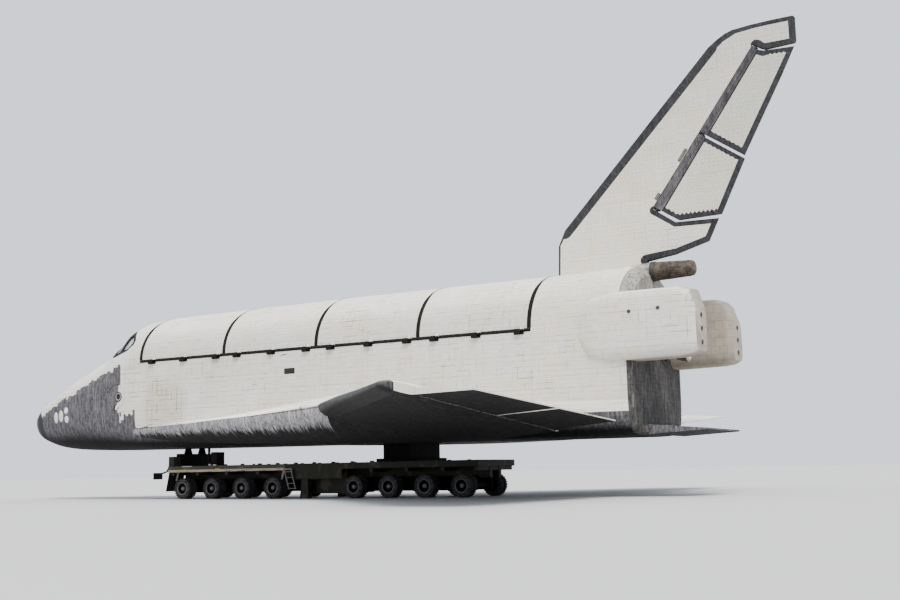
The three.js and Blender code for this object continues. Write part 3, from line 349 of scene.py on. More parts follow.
def white_tiles(f, across, up, tile=None, white=None, wear=1.0, dirt=None):
    """Stained white blankets and tiles: their colour, their joints and their grime."""
    tile = tile or sizes().tile
    white = white or tuple(colours().white)
    lines, number = f.joints(across, up, tile, 0.007)
    wide, block = f.joints(across + 0.03, up + 0.05, 0.62, 0.018, offset=0.37)
    stain = f.noise((0.35, 0.35, 0.5), 5.0, 0.6)
    streak = f.noise((2.6, 2.6, 0.35), 4.0, 0.62)
    grime = f.noise(9.0, 3.0, 0.6)
    level = f.strokes(across, up, 0.32, 0.20, 0.030, 0.50)
    upright = f.strokes(up, across, 0.36, 0.27, 0.026, 0.36)
    base = white
    for share, tint in ((block.above(0.5), (0.99, 0.965, 0.90)),
                        (block.above(0.72), (0.95, 0.965, 0.985)),
                        (block.above(0.88), (1.0, 0.95, 0.93)),
                        (stain.fade(0.44, 0.70), (0.93, 0.885, 0.81))):
        base = f.mix(share, base, tinted(white, *tint))
    tone = number * 0.05 + block * 0.04 + stain * 0.14 + streak * 0.12 + grime * 0.08 + 0.80
    faint = f.noise(1.2, 2.0, 0.5).fade(0.42, 0.62)
    bold = f.noise((0.55, 0.55, 0.8), 3.0, 0.6).fade(0.50, 0.66)
    strokes = level * (bold * 0.38 + 0.24) + upright * (bold * 0.38 + 0.18)
    cracks = (lines * (faint * 0.12 + 0.04)).most(wide * bold * 0.30) + strokes * wear
    if dirt is not None:
        base = f.mix(dirt * (grime * 0.5 + 0.2), base, tinted(white, 0.74, 0.62, 0.46))
        cracks = cracks + lines * dirt * faint * 0.4 + (upright * 1.5 + level * 0.5) * dirt * 0.3
    # Tiles that face up are painted lighter than those on the sides: a painted highlight.
    tone = tone * (cracks * -1.0 + 1.0) * (f.nz.fade(0.3, 0.95) * 0.18 + 0.95)
    return f.shade(base, tone), lines.most(wide), grime


def dark_tiles(f, across, up, tint=None):
    """Dark tiles, streaked from top to bottom."""
    tile = sizes().tile
    lines, number = f.joints(across, up, tile, 0.006)
    streak = f.noise((9.0, 9.0, 1.4), 5.0, 0.75)
    fine = f.noise((22.0, 22.0, 6.0), 3.0, 0.75)
    cloud = f.noise(0.6)
    dash = f.strokes(up, across, 0.42, tile, 0.045, 0.22)
    tone = (number * 0.18 + streak.fade(0.38, 0.64) * 0.66 + fine.fade(0.38, 0.64) * 0.60
            + cloud * 0.3 + dash * 0.7 + 0.14)
    return f.shade(tint or tuple(colours().dark), tone * (lines * -0.25 + 1.0)), lines, streak


# The dark patch's upper edge along the nose, its steps behind the hatch, and its aft edge
NOSE_EDGE = [(0.0, 1.60), (1.2, 1.62), (1.66, 1.74), (2.22, 2.06), (3.15, 2.37), (3.8, 2.60),
             (4.75, 2.90), (5.28, 3.02), (5.8, 3.24), (6.12, 3.35), (6.87, 3.53), (7.34, 3.66),
             (7.63, 3.78), (9.0, 3.9)]
NOSE_STEPS = [(7.6, 1.78), (7.78, 1.78), (7.785, 1.35), (7.87, 1.35), (7.875, 1.47),
              (8.05, 1.47), (8.055, 1.72), (8.187, 1.72), (8.19, 1.64), (8.335, 1.64),
              (8.34, 1.725), (8.485, 1.725), (8.49, 1.66), (8.62, 1.66), (8.625, 1.88),
              (8.754, 1.88), (8.758, 1.20), (8.8, 1.14), (8.85, 1.1), (9.03, 1.1), (9.5, 1.17)]
NOSE_AFT = [(1.0, 7.66), (2.23, 7.66), (2.235, 7.72), (2.975, 7.72), (2.98, 7.85), (3.88, 7.82),
            (5.0, 7.82)]
# Where the smooth dark tip ends, from its height
CAP_EDGE = [(1.5, 1.66), (1.74, 1.66), (1.88, 1.57), (2.12, 1.27), (2.3, 1.2), (3.0, 1.2)]
# The pale band over the dark strake, a painted highlight where the strake's upper surface catches
# the light: its upper and lower edges
LIT_BAND_TOP = [(7.6, 1.12), (8.84, 1.14), (10.71, 1.24), (12.34, 1.34), (15.5, 1.48),
            (18.85, 1.54), (19.84, 1.59), (31.0, 1.3)]
LIT_BAND_LOW = [(7.6, 1.06), (8.88, 1.07), (11.17, 1.13), (12.92, 1.20), (16.16, 1.27),
            (18.94, 1.37), (19.89, 1.43), (31.0, 1.15)]
# Stations of the dark steps, of the pale band's start and of the strake's end, the dark belly's
# height, and where the tail's grey and dark ends start
STEPS_START, STEPS_END = 7.649, 9.5
LIT_BAND_START, STRAKE_END = 8.76, 20.3
BELLY = 0.62
AFT_SHADE_START, SOOT_START = 30.46, 30.72
# The grey of the rounded aft end stands for the shade that it lies in: painted shade.
AFT_SHADE_GREY = (0.30, 0.285, 0.255)
# The strake face's grey, lighter than its dark tiles, stands for the light on its upper part:
# painted light.
LIT_STRAKE_TINT = (0.29, 0.28, 0.29)
# Dark tiles that face down keep only this share of their tone: painted shade.
DOWNWARD_SHADE = 0.07  # how much of their tone the dark tiles keep where they face down


def hull_finish():
    """White tiles, the dark patch on each side of the nose, and a dark belly."""
    f = Finish("tiled hull", roughness=0.82, specular=0.12)
    s, h = f.station, f.height
    column = (s + f.noise((1.7, 0.0, 0.0), 1.0, 0.5) * 0.05).snapped(sizes().tile)
    step = (f.speckle(f.vector(column, 0.0)) * 3.99).floor() * 0.055 - 0.085
    spike = f.speckle(f.vector(column, 5.0)).above(0.88) * 0.12
    nose = f.curve(column, NOSE_EDGE) + step + spike
    side = s.below(f.curve(h, NOSE_AFT)) * h.below(nose)
    behind = s.between(STEPS_START, STEPS_END) * h.below(f.curve(s, NOSE_STEPS))
    tooth = s.between(7.81, 7.905) * h.between(1.62, 1.80)
    lower = s.above(STEPS_END - 0.001) * h.below(0.95)
    cap = s.below(f.curve(h, CAP_EDGE))
    dark = side.most(behind).most(tooth).most(lower).most(h.below(BELLY)).most(cap)
    dirt = (s.fade(9.1, 9.6) * (1.0 - s.fade(10.9, 11.9)) * h.fade(1.1, 1.6)
            * (1.0 - h.fade(2.6, 3.4)))
    # The pale band along the strake is a painted highlight.
    band = h.below(f.curve(s, LIT_BAND_TOP)) * s.above(LIT_BAND_START)
    white, joints, grime = white_tiles(f, s, h, dirt=dirt)
    doors = s.between(*BAY) * h.above(SILL)
    # The doors' lower part is darker, partly grime and partly painted shade, and their upper part
    # is lighter: a painted highlight.
    door_grime_and_shade = (1.0 - (h + f.noise(0.9, 3.0, 0.6) * 0.4).fade(4.85, 5.5)) * 0.13
    white = f.shade(white, band * 0.24 - doors * (door_grime_and_shade - 0.05) + 1.0)
    black, lines, streak = dark_tiles(f, s, h)
    # Dark tiles are darkened where they face down: painted shade.
    shaded_below = (f.nz * -1.0).fade(0.35, 0.80)
    black = f.shade(f.mix(cap, black, (0.036, 0.038, 0.038)), shaded_below * (DOWNWARD_SHADE - 1.0) + 1.0)
    blend = f.mix(dark, white, black)
    # The rounded aft end above the base is grey: painted shade. The base below it is dark tiles.
    end = s.above(AFT_SHADE_START) * h.above(4.9) + s.above(SOOT_START)
    aft_shade, _, _ = dark_tiles(f, f.y, h, tint=AFT_SHADE_GREY)
    dark_patch_tone, _, _ = dark_tiles(f, f.y, h, tint=(0.07, 0.066, 0.064))
    blend = f.mix(end.clamped(), blend, f.mix(h.above(4.8), dark_patch_tone, aft_shade))
    relief = joints.most(lines) * -1.0 + grime * 0.35 + streak * dark * 0.5
    return f.done(blend, relief, 0.004, grime * 0.2 + 0.7)


def skin_finish():
    """White tiles on wings and control surfaces, dark below, with a pale band along the root that
    is a painted highlight, and a grey strake face that fades to painted shade.
    """
    f = Finish("tiled wing", roughness=0.82, specular=0.10)
    s, h = f.station, f.height
    ahead = s.below(STRAKE_END)
    white, joints, grime = white_tiles(f, s, f.y)
    ragged = f.noise(5.0, 2.0, 0.5) * 0.05 - 0.025
    low = f.curve(s, LIT_BAND_LOW) + ragged
    # The pale band along the root is a painted highlight.
    white = f.shade(white, h.below(f.curve(s, LIT_BAND_TOP)) * ahead * 0.24 + 1.0)
    black, lines, _ = dark_tiles(f, s, f.y, tint=LIT_STRAKE_TINT)
    ragged = f.speckle(f.vector(s.snapped(0.06), 2.0)) * 0.2 + f.noise((7.0, 7.0, 1.0)) * 0.2
    # Below the band, and where they face down, the strake's tiles fade to near black: painted
    # shade.
    depth = low - h + ragged - (s - 9.0) * 0.042
    lit_strake = (1.0 - depth.fade(0.30, 0.56)) * ahead * h.above(0.3)
    black = f.shade(black, lit_strake.most(f.nz.fade(0.0, 0.2)) * (1.0 - DOWNWARD_SHADE) + DOWNWARD_SHADE)
    edge = (h - low).size().below(0.018) * ahead
    dark = (h.below(low) * ahead).most(f.nz.below(-0.05))
    return f.done(f.shade(f.mix(dark, white, black), edge * -0.6 + 1.0),
                  joints.most(lines) * -1.0 + grime * 0.35, 0.004, grime * 0.2 + 0.7)


def dark_finish(name="dark tiles", tint=None, roughness=0.75):
    """Dark tiles all over, for the nose cap, edges and the body flap."""
    f = Finish(name, specular=0.15)
    black, lines, streak = dark_tiles(f, f.station, f.y + f.height, tint=tint)
    # Darker where the tiles face down: painted shade.
    return f.done(f.shade(black, (f.nz * -1.0).fade(0.1, 0.6) * (DOWNWARD_SHADE - 1.0) + 1.0),
                  lines * -1.0 + streak * 0.4, 0.004, streak * 0.3 + roughness - 0.2)


def seam_finish():
    f = Finish("seam rubber", specular=0.12)
    dust = f.noise(6.0, 4.0, 0.6)
    return f.done(f.shade(tuple(colours().seam), dust * 0.9 + 0.3), dust, 0.003,
                  dust * 0.3 + 0.55)


BORDER_TINT = (0.025, 0.025, 0.028)
BAR_TINT = (0.095, 0.088, 0.094)
FIN_WHITE = (0.74, 0.70, 0.625)
RUDDER_WHITE = (0.64, 0.63, 0.56)
RUDDER_BAR = 0.255  # how far the dark bar reaches aft of the hinge line
WEAVE = 0.15  # step of the fin's fine grid and of its sawn edges
# Chains of corners up the hinge line and aft of it. Each has the width of the dark edge that
# it starts and, if that is sawn, how deep.
FIN_BORDERS = (
    ((-4.0, -1.9, 0.05), (-2.9, -2.64, 0.10), (-2.391, -2.720, 0.335), (5.782, -1.520, 0.24),
     (6.161, -1.384, 0.20), (6.676, -1.076, 0.17), (7.082, -0.592, 0.16), (7.968, 0.582)),
    ((7.960, 0.674, 0.23), (7.203, 1.214, 0.20), (6.565, 0.354, 0.18), (6.56, 0.10)),
    ((6.58, -0.02, 0.16), (6.60, 0.08)),
    ((-0.12, -0.05, 0.16), (-0.095, 0.86, 0.17), (0.771, 2.115, 0.18), (-0.076, 2.253, 0.20),
     (-1.1, 1.45, 0.22), (-1.779, 0.691)),
)
LOWER_BORDERS = (((0.0, 0.0, 0.20, 0.10), (0.0, 0.85, 0.22, 0.15), (0.941, 2.129, 0.19),
                  (2.97, 1.788, 0.17, 0.06), (2.97, 0.0)),)
UPPER_BORDERS = (((3.07, 0.0, 0.20, 0.06), (3.07, 1.72, 0.19), (7.093, 1.231, 0.19, 0.10),
                  (6.501, 0.35, 0.20), (6.44, 0.0)),)


def fin_finish(name, borders, bar, white):
    """White tiles with dark borders along the given edges and a dark bar on the hinge line."""
    f = Finish(name, roughness=0.82)
    s, h = f.station - FIN_LOW[0], f.height - FIN_LOW[1]
    up = s * FIN_DIR[0] + h * FIN_DIR[1]
    aft = s * FIN_DIR[1] - h * FIN_DIR[0]
    near = None
    for chain in borders:
        for first, last in zip(chain, chain[1:]):
            gap = f.edge(up, aft, first[:2], last[:2]) - first[2]
            for saw in first[3:]:
                gap = gap + (f.station / WEAVE).sum("PINGPONG", 0.5) * saw
            near = gap if near is None else near.least(gap)
    tiles, joints, grime = white_tiles(f, f.station, f.height, tile=0.13, white=white, wear=0.35)
    weave = ((f.station / WEAVE).part().below(0.22).most((f.height / WEAVE).part().below(0.16))
             * f.noise(0.8, 2.0, 0.5).fade(0.3, 0.6))
    # The tiles are lighter lower down: painted light.
    tiles = f.shade(tiles, (1.0 - f.height.fade(6.5, 13.5)) * 0.22 - weave * 0.10 + 0.92)
    black, lines, _ = dark_tiles(f, up, aft, tint=BORDER_TINT)
    purple, _, _ = dark_tiles(f, aft, up, tint=BAR_TINT)
    purple = f.shade(purple, up * -0.065 + 1.0)
    end = bar - up * 0.0105
    hinge = aft.above(-1.0 if bar else up * 0.006 - 0.145) * up.between(-0.12, 6.55)
    blend = f.mix(near.below(0.0), tiles, black)
    blend = f.mix(hinge * aft.below(end), blend, purple)
    if bar:
        # A near-black line along the bar's aft edge: painted shadow of the raised bar.
        blend = f.mix((aft - end).between(-0.04, 0.012), blend, (0.014, 0.013, 0.014))
    return f.done(blend, joints.most(lines) * -1.0 + grime * 0.35, 0.004, grime * 0.2 + 0.7)


def pod_finish():
    """Pods: white outside, grey-beige blankets inside, with a dark patch ahead."""
    f = Finish("pod blankets", roughness=0.85)
    s, h = f.station, f.height
    outward = f.ny * (f.y.above(0.0) * 2.0 - 1.0)
    white, _, _ = white_tiles(f, s, h)
    lines, number = f.joints(s + f.y, h, 0.3, 0.012)
    stain = f.noise((2.2, 2.2, 3.0), 5.0, 0.7)
    fine = f.noise(14.0, 3.0, 0.6)
    grey = f.shade(tuple(colours().pod), (stain * 0.7 + fine * 0.35 + number * 0.1 + 0.42)
                   * (lines * -0.22 + 1.0))
    dark_patch_tone, _, _ = dark_tiles(f, s, h, tint=(0.05, 0.045, 0.04))
    # A dark patch on the faces that turn inwards, ahead of station 32.2.
    patch = outward.below(-0.3) * s.below(32.2) * h.between(3.2, 4.95)
    return f.done(f.mix(outward.fade(-0.05, 0.45), f.mix(patch, grey, dark_patch_tone), white),
                  fine * 0.4 - lines, 0.005)


def blanket_finish(name, colour, mottle=0.0):
    """Quilted blanket, weathered."""
    f = Finish(name, roughness=0.85)
    lines, number = f.joints(f.station + f.y, f.height, 0.3, 0.012)
    stain = f.noise((0.9, 0.9, 1.6), 5.0, 0.65)
    fine = f.noise(14.0, 3.0, 0.6)
    patch = f.noise(4.5, 5.0, 0.7).fade(0.40, 0.62) * mottle
    # The front of the chute case takes the aft end's grey: painted shade.
    blend = f.mix(f.station.below(30.86) * mottle, colour, AFT_SHADE_GREY)
    tone = stain * 0.8 + fine * 0.5 + number * 0.1 + patch + 0.3 - mottle * 0.4
    return f.done(f.shade(blend, tone * (lines * -0.25 + 1.0)), fine * 0.4 - lines, 0.005)


def metal_finish(name, colour, roughness=0.45):
    """Bare heat-stained metal."""
    f = Finish(name, metallic=0.85, specular=0.5)
    band = f.noise((18.0, 1.0, 1.0), 3.0, 0.6)
    cloud = f.noise(3.0, 4.0, 0.6)
    return f.done(f.mix(cloud.fade(0.5, 0.75) * 0.3, f.shade(colour, band * 0.5 + 0.7),
                        (0.10, 0.055, 0.03)),
                  band * 0.4 + cloud * 0.3, 0.002, cloud * 0.35 + roughness - 0.1)


def paint_finish(name, colour=None, amount=0.5, dust=(0.13, 0.115, 0.085), specular=0.2,
                 deck=False):
    """Old vehicle paint with dust on what faces up, worn patches and rust."""
    f = Finish(name, specular=specular)
    patch = f.noise(1.7, 6.0, 0.65)
    fine = f.noise(24.0, 3.0, 0.6)
    run = f.noise((7.0, 7.0, 0.8), 4.0, 0.6)
    base = f.shade(colour or tuple(colours().paint), fine * 0.5 + run * 0.5 + 0.55)
    worn = f.mix((patch + fine * 0.2).fade(0.62, 0.74) * amount, base, (0.07, 0.062, 0.045))
    rusty = f.mix((run + patch * 0.5).fade(0.82, 0.98) * amount, worn, (0.05, 0.022, 0.010))
    if deck:  # dry mud along the lower part of the deck's sides
        mud = f.noise((3.0, 3.0, 16.0), 5.0, 0.7)
        place = f.station.between(9.5, 15.75) * f.z.between(1.12, 1.36) * f.y.size().above(1.49)
        share = 1.0 - (f.z + mud * 0.06).fade(1.22, 1.26) * 0.92
        rusty = f.mix(place * (mud.fade(0.3, 0.65) * 0.5 + 0.5) * share, rusty, (0.47, 0.41, 0.31))
    return f.done(f.mix(f.nz.fade(0.5, 1.0) * (patch * 0.6 + 0.25), rusty, dust),
                  patch * 0.3 + fine * 0.3, 0.003, fine * 0.3 + 0.45)


def rubber_finish():
    f = Finish("tyre rubber with painted shade")
    dust = f.noise(5.0, 5.0, 0.65)
    fine = f.noise(60.0, 2.0, 0.6)
    clod = f.noise(13.0, 3.0, 0.65).fade(0.48, 0.60)
    # The rubber is darker than its own colour: painted shade.
    return f.done(f.mix(dust.fade(0.35, 0.75) * 0.3 + clod * 0.45, tuple(colours().rubber),
                        (0.075, 0.07, 0.068)),
                  fine * 0.3 + dust * 0.3, 0.002, dust * 0.2 + 0.72)


def glass_finish():
    """Pale dusty cabin glass that lets a little light in."""
    f = Finish("cabin glass", specular=0.6)
    dust = f.noise((3.0, 3.0, 6.0), 4.0, 0.6)
    pale = f.mix(f.station.above(7.62), (0.03, 0.033, 0.037), (0.74, 0.77, 0.78))
    f.shader.inputs["Transmission Weight"].default_value = 0.55
    return f.done(f.shade(pale, dust * 0.4 + 0.8), dust * 0.1, 0.002, dust * 0.25 + 0.04)


# Each finish: what makes it, and from what
MAKERS = {
    "hull": (hull_finish,),
    "skin": (skin_finish,),
    "dark": (dark_finish,),
    "cap": (dark_finish, "nose cap", (0.044, 0.047, 0.046), 0.55),
    "edge": (dark_finish, "wing edge", (0.06, 0.058, 0.06), 0.6),
    "frame": (dark_finish, "window frame", (0.022, 0.022, 0.024), 0.8),
    "bar": (dark_finish, "hinge bar tiles", BAR_TINT),
    "seam": (seam_finish,),
    "fin": (fin_finish, "fin tiles", FIN_BORDERS, 0.0, FIN_WHITE),
    "rudder_lower": (fin_finish, "lower rudder tiles", LOWER_BORDERS, RUDDER_BAR, RUDDER_WHITE),
    "rudder_upper": (fin_finish, "upper rudder tiles", UPPER_BORDERS, RUDDER_BAR, RUDDER_WHITE),
    "pod": (pod_finish,),
    "cover": (blanket_finish, "thruster cover", (0.74, 0.73, 0.70)),
    "ring": (blanket_finish, "porthole ring", (0.34, 0.33, 0.33)),
    "chute": (blanket_finish, "chute case blanket", (0.075, 0.060, 0.043), 1.0),
    "bell": (metal_finish, "engine metal", (0.3, 0.27, 0.24)),
    "nozzle": (metal_finish, "nozzle metal", (0.09, 0.08, 0.075), 0.55),
    # paints: name, colour, share of worn patches, dust, shine
    "cabin": (paint_finish, "cabin paint", (0.22, 0.23, 0.2), 0.2),
    # Transporter and frame paint: their own dark colour, darkened further as painted shade.
    "paint": (paint_finish, "transporter paint"),
    "frame paint": (paint_finish, "frame paint", None, 0.5, (0.13, 0.115, 0.085), 0.2, True),
    # The cabinet's own dark brown, darkened further: painted shade.
    "brown": (paint_finish, "cabinet paint", (0.005, 0.003, 0.002), 0.1, (0.03, 0.025, 0.02),
              0.08),
    # Near-black for the saddles, bogies, cleats, lamp bracket and hub dishes: their own black,
    # darkened further as painted shade.
    "black": (paint_finish, "saddle padding", (0.002, 0.002, 0.0018), 0.08,
              (0.02, 0.018, 0.014), 0.05),
    "louvre": (paint_finish, "louvre paint", (0.035, 0.036, 0.036), 0.2,
               (0.06, 0.058, 0.052), 0.1),
    "beige": (paint_finish, "worn edge", (0.36, 0.30, 0.23), 0.6),
    "grey": (paint_finish, "grey paint", (0.15, 0.15, 0.13), 0.6),
    "chalk": (paint_finish, "chalky paint", (0.42, 0.42, 0.40)),
    "yellow": (paint_finish, "marking paint", (0.42, 0.30, 0.03), 0.8),
    "hub": (paint_finish, "hub paint", (0.11, 0.11, 0.115)),
    "lens": (paint_finish, "lamp lens", (0.25, 0.02, 0.012), 0.1),
    "rubber": (rubber_finish,),
    "glass": (glass_finish,),
}
_finishes = {}


def finish(name):
    """The named finish, made once."""
    if name not in _finishes:
        maker, *values = MAKERS[name]
        _finishes[name] = maker(*values)
    return _finishes[name]


# Shapes

def slopes(u, v):
    """Slopes for a smooth curve that doesn't overshoot its points."""
    du = np.diff(u)[:, None]
    d = np.diff(v, axis=0) / du
    m = np.zeros_like(v)
    m[0], m[-1] = d[0], d[-1]
    for i in range(1, len(u) - 1):
        w1 = 2 * du[i] + du[i - 1]
        w2 = du[i] + 2 * du[i - 1]
        same = d[i - 1] * d[i] > 0
        safe = np.where(same, d[i - 1], 1.0), np.where(same, d[i], 1.0)
        m[i] = np.where(same, (w1 + w2) / (w1 / safe[0] + w2 / safe[1]), 0.0)
    return m


SECTION_RUN = np.sqrt(SECTIONS[:, 0])
SECTION_SLOPES = slopes(SECTION_RUN, SECTIONS[:, 1:])


def section(station):
    """Half width, top, widest, bottom and power of the hull at a station."""
    u = math.sqrt(max(station, 0.0))
    i = int(np.clip(np.searchsorted(SECTION_RUN, u) - 1, 0, len(SECTION_RUN) - 2))
    run = SECTION_RUN[i + 1] - SECTION_RUN[i]
    t = (u - SECTION_RUN[i]) / run
    a, b = SECTIONS[i, 1:], SECTIONS[i + 1, 1:]
    ma, mb = SECTION_SLOPES[i] * run, SECTION_SLOPES[i + 1] * run
    return (a * (2 * t**3 - 3 * t**2 + 1) + ma * (t**3 - 2 * t**2 + t)
            + b * (3 * t**2 - 2 * t**3) + mb * (t**3 - t**2))


def hull_ring(station, inside=0.0):
    half, top, widest, bottom, power = section(station)
    half, top, bottom = half - inside, top - inside, bottom + inside
    ring = []
    for i in range(ROUND):
        angle = 2 * math.pi * i / ROUND
        c, s = math.cos(angle), math.sin(angle)
        bend = 1.0 if s >= 0 else 2.0 / power
        reach = top - widest if s >= 0 else widest - bottom
        y = half * math.copysign(abs(c) ** bend, c)
        if i in (ROUND // 4, 3 * ROUND // 4):
            y = 0.0
        ring.append(at(station, y, widest + reach * math.copysign(abs(s) ** bend, s)))
    return ring


def side_at(station, height, side=-1):
    """The hull's surface point and outward normal at a station and height on one side."""
    def y_at(st, h):
        half, top, widest, bottom, power = section(st)
        if h >= widest:
            return half * math.sqrt(max(0.0, 1 - ((h - widest) / (top - widest)) ** 2))
        return half * max(0.0, 1 - ((widest - h) / (widest - bottom)) ** power) ** (1 / power)
    y = y_at(station, height)
    e = 0.01
    ds = (y_at(station + e, height) - y_at(station - e, height)) / (2 * e)
    dh = (y_at(station, height + e) - y_at(station, height - e)) / (2 * e)
    normal = Vector((-ds, side, -dh)).normalized()
    return at(station, side * y, height), normal


def skinned(rings):
    """Vertices and faces of a closed skin through rings of points, capped at both ends."""
    count = len(rings[0])
    verts = [p for ring in rings for p in ring]
    faces = []
    for start in range(0, len(verts) - count, count):
        for i in range(count):
            j = (i + 1) % count
            faces.append((start + i, start + j, start + count + j, start + count + i))
    last = len(verts) - count
    return verts, faces + [tuple(reversed(range(count))), tuple(range(last, last + count))]


def tidy_mesh(mesh, angle=32.0):
    """Welds, faces outwards and smooths a mesh, with its sharp edges kept."""
    b = bmesh.new()
    b.from_mesh(mesh)
    bmesh.ops.remove_doubles(b, verts=b.verts, dist=1e-5)
    bmesh.ops.dissolve_degenerate(b, edges=b.edges, dist=1e-6)
    bmesh.ops.recalc_face_normals(b, faces=b.faces)
    for face in b.faces:
        face.smooth = True
    b.to_mesh(mesh)
    b.free()
    mesh.set_sharp_from_angle(angle=math.radians(angle))
    return mesh


def mesh_of(name, shape, angle=32.0):
    verts, faces = shape
    mesh = bpy.data.meshes.new(name)
    mesh.from_pydata([tuple(v) for v in verts], [], faces)
    return tidy_mesh(mesh, angle)


def new_piece(name, shape, body, finishes, replaces=(), place=None, angle=32.0):
    """A piece on its body, from vertices and faces or from a mesh, with its finishes."""
    mesh = mesh_of(name, shape, angle) if isinstance(shape, tuple) else shape
    obj = bpy.data.objects.new(name, mesh)
    bpy.context.scene.collection.objects.link(obj)
    if place is not None:
        obj.matrix_world = place
    if not mesh.materials:
        for one in finishes if isinstance(finishes, tuple) else (finishes,):
            mesh.materials.append(finish(one))
    if replaces:
        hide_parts(*replaces)
    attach(obj, body)
    return obj


def paired(name, shape, finish_name, body="airframe", replaces=()):
    """A piece on the right and its mirror image on the left; {} stands for the side."""
    verts, faces = shape
    flipped = ([Vector((v.x, -v.y, v.z)) for v in verts], [tuple(reversed(f)) for f in faces])
    for side, one in (("right", shape), ("left", flipped)):
        new_piece(f"{name}_{side}", one, body.format(side), finish_name,
                  [node.format(side) for node in replaces])


def loose(shape):
    """An object for cutting with, or to be cut."""
    verts, faces = shape
    mesh = bpy.data.meshes.new("loose")
    mesh.from_pydata([tuple(v) for v in verts], [], faces)
    b = bmesh.new()
    b.from_mesh(mesh)
    bmesh.ops.recalc_face_normals(b, faces=b.faces)
    b.to_mesh(mesh)
    b.free()
    obj = bpy.data.objects.new("loose", mesh)
    bpy.context.scene.collection.objects.link(obj)
    return obj


def cut(obj, *shapes, operation="DIFFERENCE"):
    """Cuts an object by shapes."""
    tools = [loose(shape) for shape in shapes]
    for tool in tools:
        modifier = obj.modifiers.new("cut", "BOOLEAN")
        modifier.operation = operation
        modifier.solver = "EXACT"
        modifier.object = tool
    bpy.context.view_layer.update()
    graph = bpy.context.evaluated_depsgraph_get()
    mesh = bpy.data.meshes.new_from_object(obj.evaluated_get(graph))
    old = [obj.data, *(tool.data for tool in tools)]
    obj.modifiers.clear()
    obj.data = mesh
    for tool in tools:
        bpy.data.objects.remove(tool)
    for data in old:
        bpy.data.meshes.remove(data)


def adopt(obj, name, body, finishes, node):
    """Makes the piece that stands for a node of an object that has been cut to shape."""
    mesh = obj.data
    mesh.materials.clear()
    bpy.data.objects.remove(obj)
    mesh.name = name
    return new_piece(name, tidy_mesh(mesh), body, finishes, (node,))


def plate(outline, low, high):
    """An outline of (station, height), drawn across from y = low to y = high."""
    return skinned([[at(s, y, h) for s, h in outline] for y in (low, high)])


def bar(outline, start, end):
    """An outline of (y, height), drawn along from one station to another."""
    return skinned([[at(s, y, h) for y, h in outline] for s in (start, end)])


def tube(start, end, radius, sides=24):
    """A cylinder between two points."""
    start, end = Vector(start), Vector(end)
    turn = Vector((0, 0, 1)).rotation_difference((end - start).normalized())
    angles = [2 * math.pi * i / sides for i in range(sides)]
    return skinned([[centre + turn @ Vector((radius * math.cos(a), radius * math.sin(a), 0))
                     for a in angles] for centre in (start, end)])


def lathe(profile, sides=48, turn=Matrix.Identity(3), centre=CENTRE):
    """A turned shape round +X from (along, radius) points, closed into a ring."""
    verts, faces = [], []
    for along, r in profile:
        for i in range(sides):
            a = 2 * math.pi * i / sides
            verts.append(centre + turn @ Vector((along, r * math.cos(a), r * math.sin(a))))
    for k in range(len(profile)):
        m = (k + 1) % len(profile)
        for i in range(sides):
            j = (i + 1) % sides
            faces.append((k * sides + i, k * sides + j, m * sides + j, m * sides + i))
    return verts, faces


def joined(parts):
    """Several shapes in one."""
    verts, faces = [], []
    for v, f in parts:
        start = len(verts)
        verts.extend(v)
        faces.extend(tuple(i + start for i in face) for face in f)
    return verts, faces


def box(low, high, chamfer=0.0):
    """A box between two corners, with chamfered edges."""
    b = bmesh.new()
    low, high = Vector(low), Vector(high)
    bmesh.ops.create_cube(b, size=1.0, matrix=Matrix.LocRotScale(
        (low + high) / 2, None, high - low))
    if chamfer:
        bmesh.ops.bevel(b, geom=b.edges[:], offset=chamfer, segments=2, affect="EDGES",
                        profile=0.5)
    b.verts.index_update()
    verts = [v.co.copy() for v in b.verts]
    faces = [tuple(v.index for v in face.verts) for face in b.faces]
    b.free()
    return verts, faces


def strip(points, normals, widths, thick, lift):
    """A flat strip along a path on a surface, lifted off it and part sunk in it."""
    rings = []
    for i, (p, n) in enumerate(zip(points, normals)):
        ahead = points[min(i + 1, len(points) - 1)] - points[max(i - 1, 0)]
        side = ahead.normalized().cross(n).normalized() * widths[i] / 2
        out = n * lift
        into = n * (lift - thick)
        rings.append([p - side + into, p + side + into, p + side * 0.85 + out,
                      p - side * 0.85 + out])
    return skinned(rings)


def dressed(node, body, finish_name, bevel=0.0, angle=32.0):
    """A welded and smoothed twin of a CAD node that stands for it, with its edges eased."""
    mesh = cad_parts[node].data.copy()
    mesh.materials.clear()
    b = bmesh.new()
    b.from_mesh(mesh)
    bmesh.ops.remove_doubles(b, verts=b.verts, dist=1e-5)
    bmesh.ops.dissolve_limit(b, angle_limit=math.radians(0.6), verts=b.verts, edges=b.edges)
    b.to_mesh(mesh)
    b.free()
    if "custom_normal" in mesh.attributes:
        mesh.attributes.remove(mesh.attributes["custom_normal"])
    obj = new_piece(f"{node}_skin", tidy_mesh(mesh, angle), body, finish_name, (node,))
    if bevel:
        modifier = obj.modifiers.new("eased edges", "BEVEL")
        modifier.width = bevel
        modifier.segments = 2
        modifier.limit_method = "ANGLE"
        modifier.angle_limit = math.radians(angle)
        modifier.harden_normals = True
        modifier.use_clamp_overlap = True


def hull_between(start, end, inside=0.0, steps=40, roots=False):
    """The hull from one station to another, capped at both ends."""
    if roots:
        stations = np.linspace(math.sqrt(start), math.sqrt(end), steps) ** 2
    else:
        stations = np.linspace(start, end, steps)
    return skinned([hull_ring(float(s), inside) for s in stations])


# Operators, one for each piece or group of like pieces

class Builder:
    bl_options = {"REGISTER", "UNDO"}

    def execute(self, context):
        self.make()
        return {"FINISHED"}


